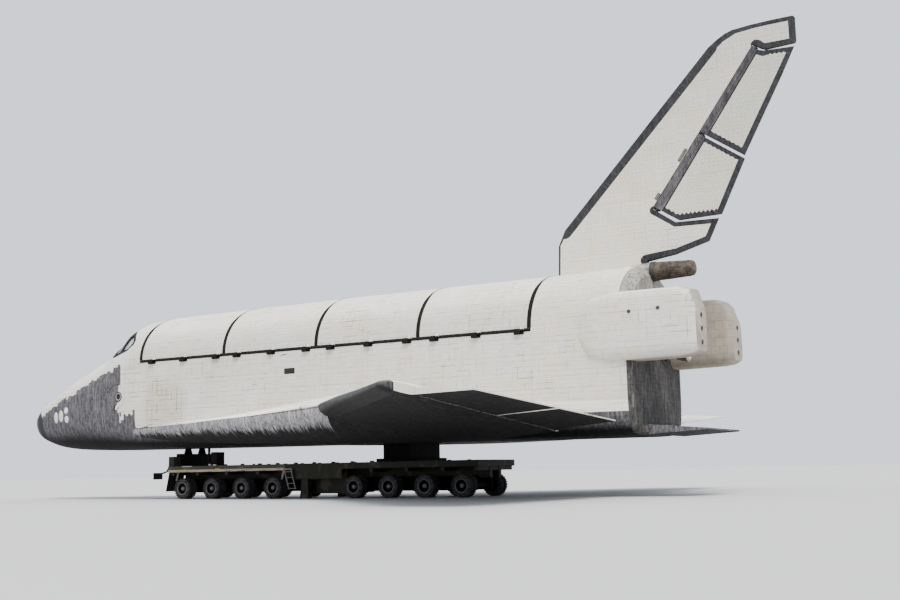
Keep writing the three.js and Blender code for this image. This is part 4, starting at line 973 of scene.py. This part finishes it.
class ORBITER_OT_nose_cap(Builder, bpy.types.Operator):
    """The smooth dark cap on the nose"""
    bl_idname = "orbiter.nose_cap"
    bl_label = "Nose cap"

    def make(self):
        new_piece("nose_shell", hull_between(0.0001, NOSE_CAP_END, steps=26, roots=True),
                  "airframe", "cap", ("nose_cap",))


def brow_shell(start, end, outside, inside, reach, steps):
    """The hull's skin between two depths, where it lies in the windshield band."""
    shell = loose(hull_between(start, end, outside, steps))
    cut(shell, hull_between(start - 0.05, end + 0.05, inside, 30))
    cut(shell, plate(BROW, -reach, reach), operation="INTERSECT")
    return shell


def hatch_plug(radius):
    """What the hatch, or its hole, takes out of the hull's port side."""
    return tube(at(HATCH["station"], -3.0, HATCH["height"]),
                at(HATCH["station"], -2.2, HATCH["height"]), radius, sides=64)


class ORBITER_OT_forward(Builder, bpy.types.Operator):
    """The forward fuselage, with its cabin, its windshield band and its hatch"""
    bl_idname = "orbiter.forward"
    bl_label = "Forward fuselage"

    def make(self):
        skin = loose(hull_between(NOSE_CAP_END + FIT, BAY[0], steps=72, roots=True))
        cut(skin, hull_between(*CABIN, SKIN, 24), plate(BROW, -3, 3),
            hatch_plug(HATCH["radius"] + HATCH["gap"]))
        adopt(skin, "forward_skin", "airframe", "hull", "forward_fuselage")

        band = brow_shell(4.75, 8.9, 0.0, 0.07, 3, 60)
        cut(band, *(plate(outline, low, high) for near, far, outline in PANES
                    for low, high in ((near, far), (-far, -near))))
        adopt(band, "window_band", "airframe", "frame", "windshield_frame")

        glass = brow_shell(4.9, 8.85, 0.072, 0.1, 2.9, 50)
        adopt(glass, "window_glass", "airframe", "glass", "windshield_glass")
        dressed("cabin_deck", "airframe", "cabin", bevel=0.02)


class ORBITER_OT_hatch(Builder, bpy.types.Operator):
    """The crew hatch with its porthole"""
    bl_idname = "orbiter.hatch"
    bl_label = "Crew hatch"

    def make(self):
        shell = loose(hull_between(6.9, 8.3, 0.0, 30))
        cut(shell, hull_between(6.8, 8.4, SKIN, 20))
        cut(shell, hatch_plug(HATCH["radius"]), operation="INTERSECT")
        sill = HATCH["height"] - HATCH["radius"]
        pivot_y, pivot_height = -2.7, 1.945
        arm = [(-2.725, pivot_height), (-2.695, pivot_height), (-2.64, sill + 0.09),
               (-2.48, sill + 0.16), (-2.56, sill + 0.2), (-2.69, sill + 0.09)]
        lugs = []
        for start, end in ((-0.14, -0.0603), (0.0603, 0.14)):
            low, high = HATCH["station"] + start, HATCH["station"] + end
            lugs += [bar(arm, low, high), tube(at(low, pivot_y, pivot_height),
                                               at(high, pivot_y, pivot_height), 0.032)]
        adopt(shell, "hatch_shell", "crew_hatch", "hull", "crew_hatch")
        new_piece("hatch_lugs", joined(lugs), "crew_hatch", "hull")
        centre, out = side_at(7.735, 2.47)
        turn = Vector((1, 0, 0)).rotation_difference(out)
        rim, pane, pale = (lathe(profile, 48, turn, centre) for profile in (
            [(-0.03, 0.165), (0.010, 0.165), (0.020, 0.175), (0.020, 0.198), (0.010, 0.208),
             (-0.03, 0.212)],
            [(-0.03, 0.001), (0.004, 0.001), (0.002, 0.136), (-0.03, 0.136)],
            [(-0.03, 0.132), (0.012, 0.132), (0.016, 0.140), (0.016, 0.160), (0.008, 0.168),
             (-0.03, 0.168)]))
        new_piece("porthole_rim", joined([rim, pane]), "crew_hatch", "frame")
        new_piece("porthole_ring", pale, "crew_hatch", "ring")


class ORBITER_OT_middle(Builder, bpy.types.Operator):
    """The payload bay trough and the aft fuselage"""
    bl_idname = "orbiter.middle"
    bl_label = "Middle and aft fuselage"

    def make(self):
        skin = loose(hull_between(BAY[0] + FIT, BAY[1], steps=40))
        trough = [(-2.35, 4.4), (-2.35, 2.35), (-1.35, 1.2), (1.35, 1.2), (2.35, 2.35),
                  (2.35, 4.4)]
        cut(skin, box(at(8.5, -3.2, SILL), at(27.8, 3.2, 7.2)),
            bar(trough, BAY[0] + 0.2, BAY[1] - 0.2))
        obj = adopt(skin, "middle_skin", "airframe", ("hull", "cabin"),
                    "mid_fuselage")
        low, high = at(BAY[0] + 0.1, -2.36, 1.15), at(BAY[1] - 0.1, 2.36, 4.3)
        for face in obj.data.polygons:
            if all(a < c < b for a, c, b in zip(low, face.center, high)):
                face.material_index = 1
        parts = [hull_between(BAY[1] + FIT, BASE, steps=24)]
        for side in (-1, 1):
            low, high = sorted((side * 2.0253, side * 2.135))
            parts += [box(at(BASE - 0.2, low, 0.23), at(31.25, high, 0.48), 0.012),
                      tube(at(28.1, side * 2.45, 0.64375), at(28.1, side * 2.78, 0.6652), 0.09)]
        new_piece("aft_skin", joined(parts), "airframe", "hull",
                  ("aft_fuselage",))


def door_points(station, steps=36):
    """The door's outer arc at a station, from its lower edge to the ridge, and normals."""
    half, centre = 2.7, 3.95
    rise = section(station)[1] - centre
    first = math.asin((SILL + 0.025 - centre) / rise)
    last = math.acos(0.008 / half)
    points, normals = [], []
    for i in range(steps + 1):
        a = first + (last - first) * i / steps
        normals.append(Vector((0, math.cos(a) * rise, math.sin(a) * half)).normalized())
        points.append(at(station, half * math.cos(a), centre + rise * math.sin(a)))
    return points, normals


class ORBITER_OT_doors(Builder, bpy.types.Operator):
    """The two payload bay doors with their seams, hinges and covers"""
    bl_idname = "orbiter.doors"
    bl_label = "Payload bay doors"

    def make(self):
        rings = []
        for station in np.linspace(BAY[0] + 0.02, BAY[1] - 0.02, 37):
            points, normals = door_points(float(station))
            rings.append(points + [p - n * 0.12 for p, n in zip(points, normals)][::-1])
        paired("door_skin", skinned(rings), "hull", "bay_door_{}",
               ("bay_door_{}",))
        arm = [(2.735, 3.9), (2.805, 3.9), (2.775, 3.975), (2.70, 4.05), (2.64, 4.05),
               (2.64, 3.98)]
        barrels, arms, covers = [], [], []
        for cover in KNUCKLES:
            last = cover + KNUCKLE
            start = last + TOUCH
            end = start + HINGE["lug"]
            barrels.append(tube(at(start, HINGE["y"], HINGE["height"]),
                                at(end, HINGE["y"], HINGE["height"]), HINGE["barrel"], 20))
            arms.append(bar(arm, start, end))
            covers += [box(at(cover - 0.002, 2.64, 3.752), at(last - 0.001, 2.818, 3.936), 0.014),
                       box(at(cover, 2.64, 3.756), at(last + HINGE["lug"], 2.732, 3.846), 0.008)]
        seams = []
        wide, thin = sizes().seam, sizes().seam_ridge
        for k in range(5):
            station = BAY[0] + k * DOOR_PANEL + {0: 0.07, 4: -0.07}.get(k, 0.0)
            points, normals = door_points(station)
            widths = [wide + (thin - wide) * min(1.0, max(0.0, (i - 16) / 8))
                      for i in range(len(points))]
            seams.append(strip(points, normals, widths, 0.03, 0.008))
        paired("door_lugs", joined(barrels), "seam", body="bay_door_{}")
        paired("door_arms", joined(arms), "hull", "bay_door_{}")
        paired("door_seams", joined(seams), "seam", body="bay_door_{}")
        paired("hinge_covers", joined(covers), "seam")
        paired("sill_seal", box(at(BAY[0] + 0.01, 2.62, 3.838), at(BAY[1] - 0.01, 2.712, 3.938),
                                0.006), "seam")


class ORBITER_OT_covers(Builder, bpy.types.Operator):
    """White thruster covers on the nose, side vents and small fittings"""
    bl_idname = "orbiter.covers"
    bl_label = "Covers and vents"

    def make(self):
        ovals = []
        # station, height, half length, half height
        for s, h, a, c in ((3.08, 1.77, 0.17, 0.25), (3.53, 1.82, 0.17, 0.26),
                           (3.97, 2.05, 0.15, 0.14), (3.99, 1.66, 0.15, 0.16)):
            rims = []
            for grow, lift in ((1.0, -0.02), (1.0, 0.006), (0.9, 0.014), (0.5, 0.016)):
                places = [side_at(s + a * grow * math.cos(t), h + c * grow * math.sin(t), 1)
                          for t in (2 * math.pi * i / 32 for i in range(32))]
                rims.append([p + n * lift for p, n in places])
            ovals.append(skinned(rims))
        paired("thruster_covers", joined(ovals), "cover")
        stroke = plate([(16.42, 3.675), (16.46, 3.668), (16.76, 3.718), (16.75, 3.735),
                        (16.6, 3.722)], 2.69, 2.706)
        paired("side_vent", joined([box(at(16.62, 2.66, 2.93), at(17.14, 2.708, 3.17), 0.02),
                                    stroke]), "seam")
        louvres = [box(at(16.665, 2.69, 2.968), at(17.095, 2.712, 3.132), 0.01)]
        for k in range(5):
            h = 2.985 + 0.028 * k
            louvres.append(box(at(16.68, 2.7, h), at(17.08, 2.722, h + 0.014), 0.004))
        paired("vent_louvres", joined(louvres), "louvre")


class ORBITER_OT_wings(Builder, bpy.types.Operator):
    """Wings, their edges, elevons and the body flap"""
    bl_idname = "orbiter.wings"
    bl_label = "Wings"

    def make(self):
        for side in ("right", "left"):
            dressed(f"wing_{side}", "airframe", "skin", angle=40.0)
            dressed(f"wing_edge_{side}", "airframe", "edge", angle=60.0)
            for body in (f"elevon_inner_{side}", f"elevon_outer_{side}"):
                dressed(body, body, "skin", bevel=0.008)
        dressed("body_flap", "body_flap", "dark", bevel=0.01)


def fin_ring(up, outline):
    """Points on the fin's side, each from its place aft of the hinge line and its lift."""
    hinge, nose, reach = 0.172 - 0.00889 * up, 0.055 - 0.00111 * up, 2.95 - 0.1611 * up
    return [at(FIN_LOW[0] + up * FIN_DIR[0] + aft * FIN_DIR[1],
               hinge + (nose - hinge) * -aft / reach + lift,
               FIN_LOW[1] + up * FIN_DIR[1] - aft * FIN_DIR[0]) for aft, lift in outline]


class ORBITER_OT_fin(Builder, bpy.types.Operator):
    """The fin, the rudder halves, their shaft and the fairings over it"""
    bl_idname = "orbiter.fin"
    bl_label = "Fin and rudder"

    def make(self):
        dressed("fin", "airframe", "fin", bevel=0.02)
        for side in ("right", "left"):
            for part in ("lower", "upper"):
                dressed(f"rudder_{part}_{side}", f"speed_brake_{side}", f"rudder_{part}",
                        bevel=0.008)
        dressed("rudder_shaft", "rudder_shaft", "bar", bevel=0.004)
        front = -0.262
        lip = []
        for up in np.linspace(-0.09, 6.51, 25):
            end = -0.128 + 0.006 * up
            lip.append(fin_ring(up, [(front, -0.012), (front, 0.004), (front + 0.012, 0.009),
                                     (end - 0.004, 0.009), (end, 0.004), (end, -0.006)]))
        paired("hinge_fairing", skinned(lip), "fin")
        for name, finish_name, grow, lift in (("fin_hatches", "seam", 0.0, 0.020),
                                              ("hatch_insets", "grey", 0.020, 0.024)):
            ahead, behind = front + grow, front + 0.11 - grow
            outline = [(ahead, -0.01), (ahead, lift), (behind, lift), (behind, -0.01)]
            paired(name, joined([skinned([fin_ring(up, outline)
                                          for up in (low + grow, high - grow)])
                                 for low, high in ((0.24, 0.50), (1.81, 2.31))]), finish_name)


# Thruster pods: station, inner y, outer y, low, high
PODS = np.array([
    (28.9, 1.7, 2.66, 3.5, 4.3),
    (29.5, 1.5, 2.9, 2.75, 4.85),
    (30.3, 1.45, 2.96, 2.6, 5.0),
    (32.6, 1.45, 2.96, 2.65, 4.99),
    (33.0, 1.48, 2.9, 2.7, 4.86),
    (33.2, 1.58, 2.8, 2.8, 4.3),
])
POD_TILT = 0.09
POD_POWER = 5.0


def pod_ring(row, count=56):
    station, inner, outer, low, high = row
    ring = []
    for i in range(count):
        a = 2 * math.pi * i / count
        u, v = (math.copysign(abs(w) ** (2 / POD_POWER), w) for w in (math.cos(a), math.sin(a)))
        lean = u * v * POD_TILT if v > 0 else 0.0
        ring.append(at(station, (inner + outer) / 2 + u * (outer - inner) / 2,
                       (low + high) / 2 + v * (high - low) / 2 - lean))
    return ring


class ORBITER_OT_aft(Builder, bpy.types.Operator):
    """Thruster pods, engine bells and the chute case"""
    bl_idname = "orbiter.aft"
    bl_label = "Pods and engines"

    def make(self):
        rows = [first + (last - first) * k / 4 for first, last in zip(PODS, PODS[1:])
                for k in range(4)]
        paired("pod_shell", skinned([pod_ring(row) for row in rows + [PODS[-1]]]), "pod",
               replaces=("thruster_pod_{}",))
        outwards = Vector((1, 0, 0)).rotation_difference(Vector((0, 1, 0)))
        thrusters = [lathe([(-0.03, 0.001), (0.010, 0.001), (0.012, 0.042), (0.022, 0.048),
                            (0.022, 0.06), (-0.03, 0.07)], 28, outwards, at(station, 2.96, height))
                     for station, height in ((31.0, 4.2), (32.0, 4.24))]
        thrusters += [lathe([(-0.06, 0.001), (-0.02, 0.001), (0.0, 0.04), (0.02, 0.062),
                             (0.03, 0.064), (0.03, 0.074), (0.01, 0.08), (-0.06, 0.09)], 28,
                            centre=at(33.2, 2.19, height)) for height in (3.1, 3.55, 4.0)]
        paired("pod_thrusters", joined(thrusters), "nozzle")
        paired("engine_collar", lathe([(-0.02, 0.3), (0.03, 0.3), (0.05, 0.33), (0.05, 0.40),
                                       (0.03, 0.44), (-0.02, 0.45)], 40,
                                      centre=at(BASE, 0.8, 3.15)), "nozzle")
        for side in ("right", "left"):
            dressed(f"engine_{side}", "airframe", "bell", angle=40.0)
        case_height = 5.96
        new_piece("chute_shell", lathe([(0.0, 0.001), (0.0, 0.34), (0.7, 0.34), (1.2, 0.325),
                                        (2.09, 0.282), (2.17, 0.262), (2.215, 0.225),
                                        (2.242, 0.17), (2.25, 0.09), (2.25, 0.001)], 56,
                                       centre=at(30.2, 0.0, case_height)),
                  "airframe", "chute", ("chute_case",), angle=50.0)
        # station, radius of the case, width, how far it stands proud
        bands = [lathe([(0.0, radius - 0.02), (0.0, radius + proud), (wide, radius + proud),
                        (wide, radius - 0.02)], 56, centre=at(station, 0.0, case_height))
                 for station, radius, wide, proud in ((30.86, 0.338, 0.17, 0.018),
                                                      (31.55, 0.316, 0.03, 0.006),
                                                      (32.2, 0.288, 0.03, 0.006))]
        new_piece("chute_bands", joined(bands), "airframe", "nozzle")


class ORBITER_OT_transporter(Builder, bpy.types.Operator):
    """The transporter's frame, wheel groups, saddles, boxes, trim and props"""
    bl_idname = "orbiter.transporter"
    bl_label = "Transporter"

    def make(self):
        for node, finish_name, slot in (
                ("trailer_frame", "frame paint", "trailer_paint"),
                ("bogie_front", "black", "trailer_paint"),
                ("bogie_rear", "black", "trailer_paint"),
                ("saddle_front", "black", "saddle_black"),
                ("saddle_rear", "black", "saddle_black"),
                ("service_cabinet", "brown", "cabinet_brown"),
                ("battery_box", "paint", "trailer_paint"),
                ("lamp_bracket", "black", "trailer_paint"),
                ("ladder", "grey", "trailer_paint")):
            dressed(node, "airframe", finish_name, bevel=0.012)
        # name, finish, boxes: from and to in station, y and height over the ground
        for name, finish_name, boxes in (
                ("deck_edge", "beige", [(9.6, 15.7, 1.44, 1.512, 1.118, 1.15)]),
                ("deck_chalk", "chalk", [(10.36, 10.9, 1.46, 1.506, 1.335, 1.374),
                                         (11.80, 11.88, 1.40, 1.49, 1.36, 1.44),
                                         (12.02, 12.18, 1.42, 1.48, 1.36, 1.415)]),
                ("deck_marks", "yellow", [(10.26, 10.44, 1.46, 1.506, 1.17, 1.225),
                                          (10.48, 10.66, 1.46, 1.506, 1.19, 1.24),
                                          (12.17, 12.43, 1.46, 1.506, 1.195, 1.245)]),
                ("deck_cleats", "black", [(12.6 + 0.9 * k, 12.72 + 0.9 * k, 1.38, 1.49, 1.365,
                                           1.42) for k in range(12)]),
                ("lamp_lenses", "lens", [(8.743, 8.76, 1.435, 1.495, 0.87, 0.97),
                                         (8.743, 8.76, 1.435, 1.495, 0.99, 1.07)])):
            paired(name, joined([box((s0 + NOSE_X, y0, z0), (s1 + NOSE_X, y1, z1), 0.004)
                                 for s0, s1, y0, y1, z0, z1 in boxes]), finish_name)
        props = [plate([(s, 1.14 - DATUM), (s + 0.10, 1.14 - DATUM), (s - 0.02, 0.76 - DATUM),
                        (s - 0.09, 0.76 - DATUM)], 1.30, 1.36) for s in (9.98, 15.55)]
        paired("deck_props", joined(props), "grey")


def lug(angle, y_from, y_to, skew, low, high, half):
    """A tread block that leans round the tyre as it crosses from one side to the other."""
    rings = []
    for y, turned in ((y_from, angle), (y_to, angle + skew)):
        rings.append([Vector((r * math.sin(turned + d), y, r * math.cos(turned + d)))
                      for r, d in ((low, -half), (low, half), (high, half * 0.8),
                                   (high, -half * 0.8))])
    return skinned(rings)


class ORBITER_OT_wheels(Builder, bpy.types.Operator):
    """Sixteen twin wheels with treaded tyres and bolted hubs"""
    bl_idname = "orbiter.wheels"
    bl_label = "Wheels"

    def make(self):
        wide = WHEEL["outer"] - WHEEL["inner"]
        half = (wide - WHEEL["between"]) / 2
        tyres = []
        across = Matrix.Rotation(math.radians(90), 3, "Z")
        # Half of a tyre's section: how far in from its side, and radius
        flank = [(0.02, 0.255), (0.004, 0.30), (0.004, 0.34), (0.014, 0.375), (0.03, 0.40),
                 (0.05, 0.412)]
        profile = flank + [(half - a, r) for a, r in reversed(flank)]
        step = 2 * math.pi / WHEEL["lugs"]
        for start in (0.0, half + WHEEL["between"]):
            tyres.append(lathe([(start + a, r) for a, r in profile], 64, across))
            end = start + half
            for i in range(WHEEL["lugs"]):
                first, second = i * step, (i + 0.5) * step
                tyres += [
                    lug(first, start + 0.012, start + half * 0.53, 0.10, 0.39, 0.4345, 0.062),
                    lug(second, end - 0.012, start + half * 0.47, 0.10, 0.39, 0.4345, 0.062),
                    lug(first, start + 0.004, start + 0.016, 0.0, 0.362, 0.41, 0.05),
                    lug(second, end - 0.012, end, 0.0, 0.362, 0.41, 0.05)]
        rim = [(wide - 0.05, 0.226), (wide - 0.012, 0.226), (wide - 0.002, 0.236),
               (wide - 0.002, 0.258), (wide - 0.012, 0.268), (wide - 0.05, 0.268)]
        dish = [(0.03, 0.08), (0.03, 0.25), (wide - 0.03, 0.25), (wide - 0.03, 0.228),
                (wide - 0.10, 0.215), (wide - 0.14, 0.165), (wide - 0.13, 0.08)]
        cap = [(wide - 0.15, 0.001), (wide - 0.03, 0.001), (wide - 0.026, 0.045),
               (wide - 0.04, 0.072), (wide - 0.07, 0.082), (wide - 0.15, 0.088)]
        hubs = [lathe(rim, 56, across), lathe(dish, 48, across), lathe(cap, 36, across)]
        for i in range(WHEEL["bolts"]):
            angle = 2 * math.pi * i / WHEEL["bolts"]
            x, z = 0.135 * math.cos(angle), 0.135 * math.sin(angle)
            hubs.append(tube((x, wide - 0.16, z), (x, wide - 0.105, z), 0.013, sides=6))
        tyre_mesh = mesh_of("tyre", joined(tyres), angle=35.0)
        hub_mesh = mesh_of("hub", joined(hubs), angle=35.0)
        # The hub's dish and inner side take the near-black finish: painted shade.
        for name in ("hub", "black"):
            hub_mesh.materials.append(finish(name))
        for face in hub_mesh.polygons:
            radius = math.hypot(face.center.x, face.center.z)
            face.material_index = 1 if 0.09 < radius < 0.2255 or face.center.y < 0.4 else 0
        for i, station in enumerate(AXLES, 1):
            for side, sign in (("right", 1), ("left", -1)):
                body = f"wheel_{side}_{i}"
                spot = Matrix.Translation((station + NOSE_X, sign * WHEEL["inner"], HUB))
                if sign < 0:
                    spot = spot @ Matrix.Rotation(math.pi, 4, "Z")
                new_piece(f"tyre_{side}_{i}", tyre_mesh, body, "rubber", (body,), spot)
                new_piece(f"hub_{side}_{i}", hub_mesh, body, "hub", (), spot)


class ORBITER_OT_stage(Builder, bpy.types.Operator):
    """Camera, floor and light"""
    bl_idname = "orbiter.stage"
    bl_label = "Stage"

    def make(self):
        scene = bpy.context.scene
        settings = scene.orbiter_stage
        camera = bpy.data.cameras.new("camera")
        camera.lens = settings.focal
        camera.sensor_width = 36.0
        camera.clip_end = 500.0
        eye = bpy.data.objects.new("camera", camera)
        scene.collection.objects.link(eye)
        yaw, pitch, roll = (Matrix.Rotation(math.radians(angle), 4, axis)
                            for angle, axis in ((28.95, "Z"), (98.43, "X"), (-1.053, "Z")))
        eye.matrix_world = Matrix.Translation((25.805, -38.64, 1.03)) @ yaw @ pitch @ roll
        scene.camera = eye
        far = 400
        floor = loose(([(-far, -far, 0), (far, -far, 0), (far, far, 0), (-far, far, 0)],
                       [(0, 1, 2, 3)]))
        floor.name = "floor"
        pale = Finish("floor", roughness=0.9, specular=0.2)
        cloud = pale.noise(0.2, 2.0, 0.5)
        pale.plug(pale.shade((0.56, 0.56, 0.56), cloud * 0.04 + 0.98),
                  pale.shader.inputs["Base Color"])
        floor.data.materials.append(pale.material)
        world = bpy.data.worlds.new("sky")
        world.use_nodes = True
        light, power = world.node_tree.nodes["Background"].inputs[:2]
        light.default_value = (0.86, 0.91, 1.0, 1.0)
        power.default_value = settings.sky
        scene.world = world
        sun = bpy.data.lights.new("sun", "SUN")
        sun.energy = settings.key
        sun.angle = math.radians(25)
        sun.color = (1.0, 0.96, 0.9)
        lamp = bpy.data.objects.new("sun", sun)
        scene.collection.objects.link(lamp)
        lamp.rotation_euler = (math.radians(31), 0.0, math.radians(33))


OPERATORS = (ORBITER_OT_stage, ORBITER_OT_nose_cap, ORBITER_OT_forward, ORBITER_OT_hatch,
             ORBITER_OT_middle, ORBITER_OT_doors, ORBITER_OT_covers, ORBITER_OT_wings,
             ORBITER_OT_fin, ORBITER_OT_aft, ORBITER_OT_transporter, ORBITER_OT_wheels)
GROUPS = (("orbiter_sizes", OrbiterSizes), ("orbiter_colours", OrbiterColours),
          ("orbiter_stage", OrbiterStage))


class ORBITER_PT_panel(bpy.types.Panel):
    """Lists the settings and the pieces"""
    bl_idname = "ORBITER_PT_panel"
    bl_label = "Orbiter"
    bl_space_type = "VIEW_3D"
    bl_region_type = "UI"
    bl_category = "Orbiter"

    def draw(self, context):
        for name, group in GROUPS:
            column = self.layout.column()
            settings = getattr(context.scene, name)
            for key in group.__annotations__:
                column.prop(settings, key)
        for operator in OPERATORS:
            self.layout.operator(operator.bl_idname)


CLASSES = (*(group for _, group in GROUPS), *OPERATORS, ORBITER_PT_panel)


def register():
    for one in CLASSES:
        bpy.utils.register_class(one)
    for name, group in GROUPS:
        setattr(bpy.types.Scene, name, bpy.props.PointerProperty(type=group))


def unregister():
    for name, _ in reversed(GROUPS):
        delattr(bpy.types.Scene, name)
    for one in reversed(CLASSES):
        bpy.utils.unregister_class(one)


def main():
    register()
    for operator in OPERATORS:
        group, _, action = operator.bl_idname.partition(".")
        getattr(getattr(bpy.ops, group), action)()


if __name__ == "__main__":
    main()
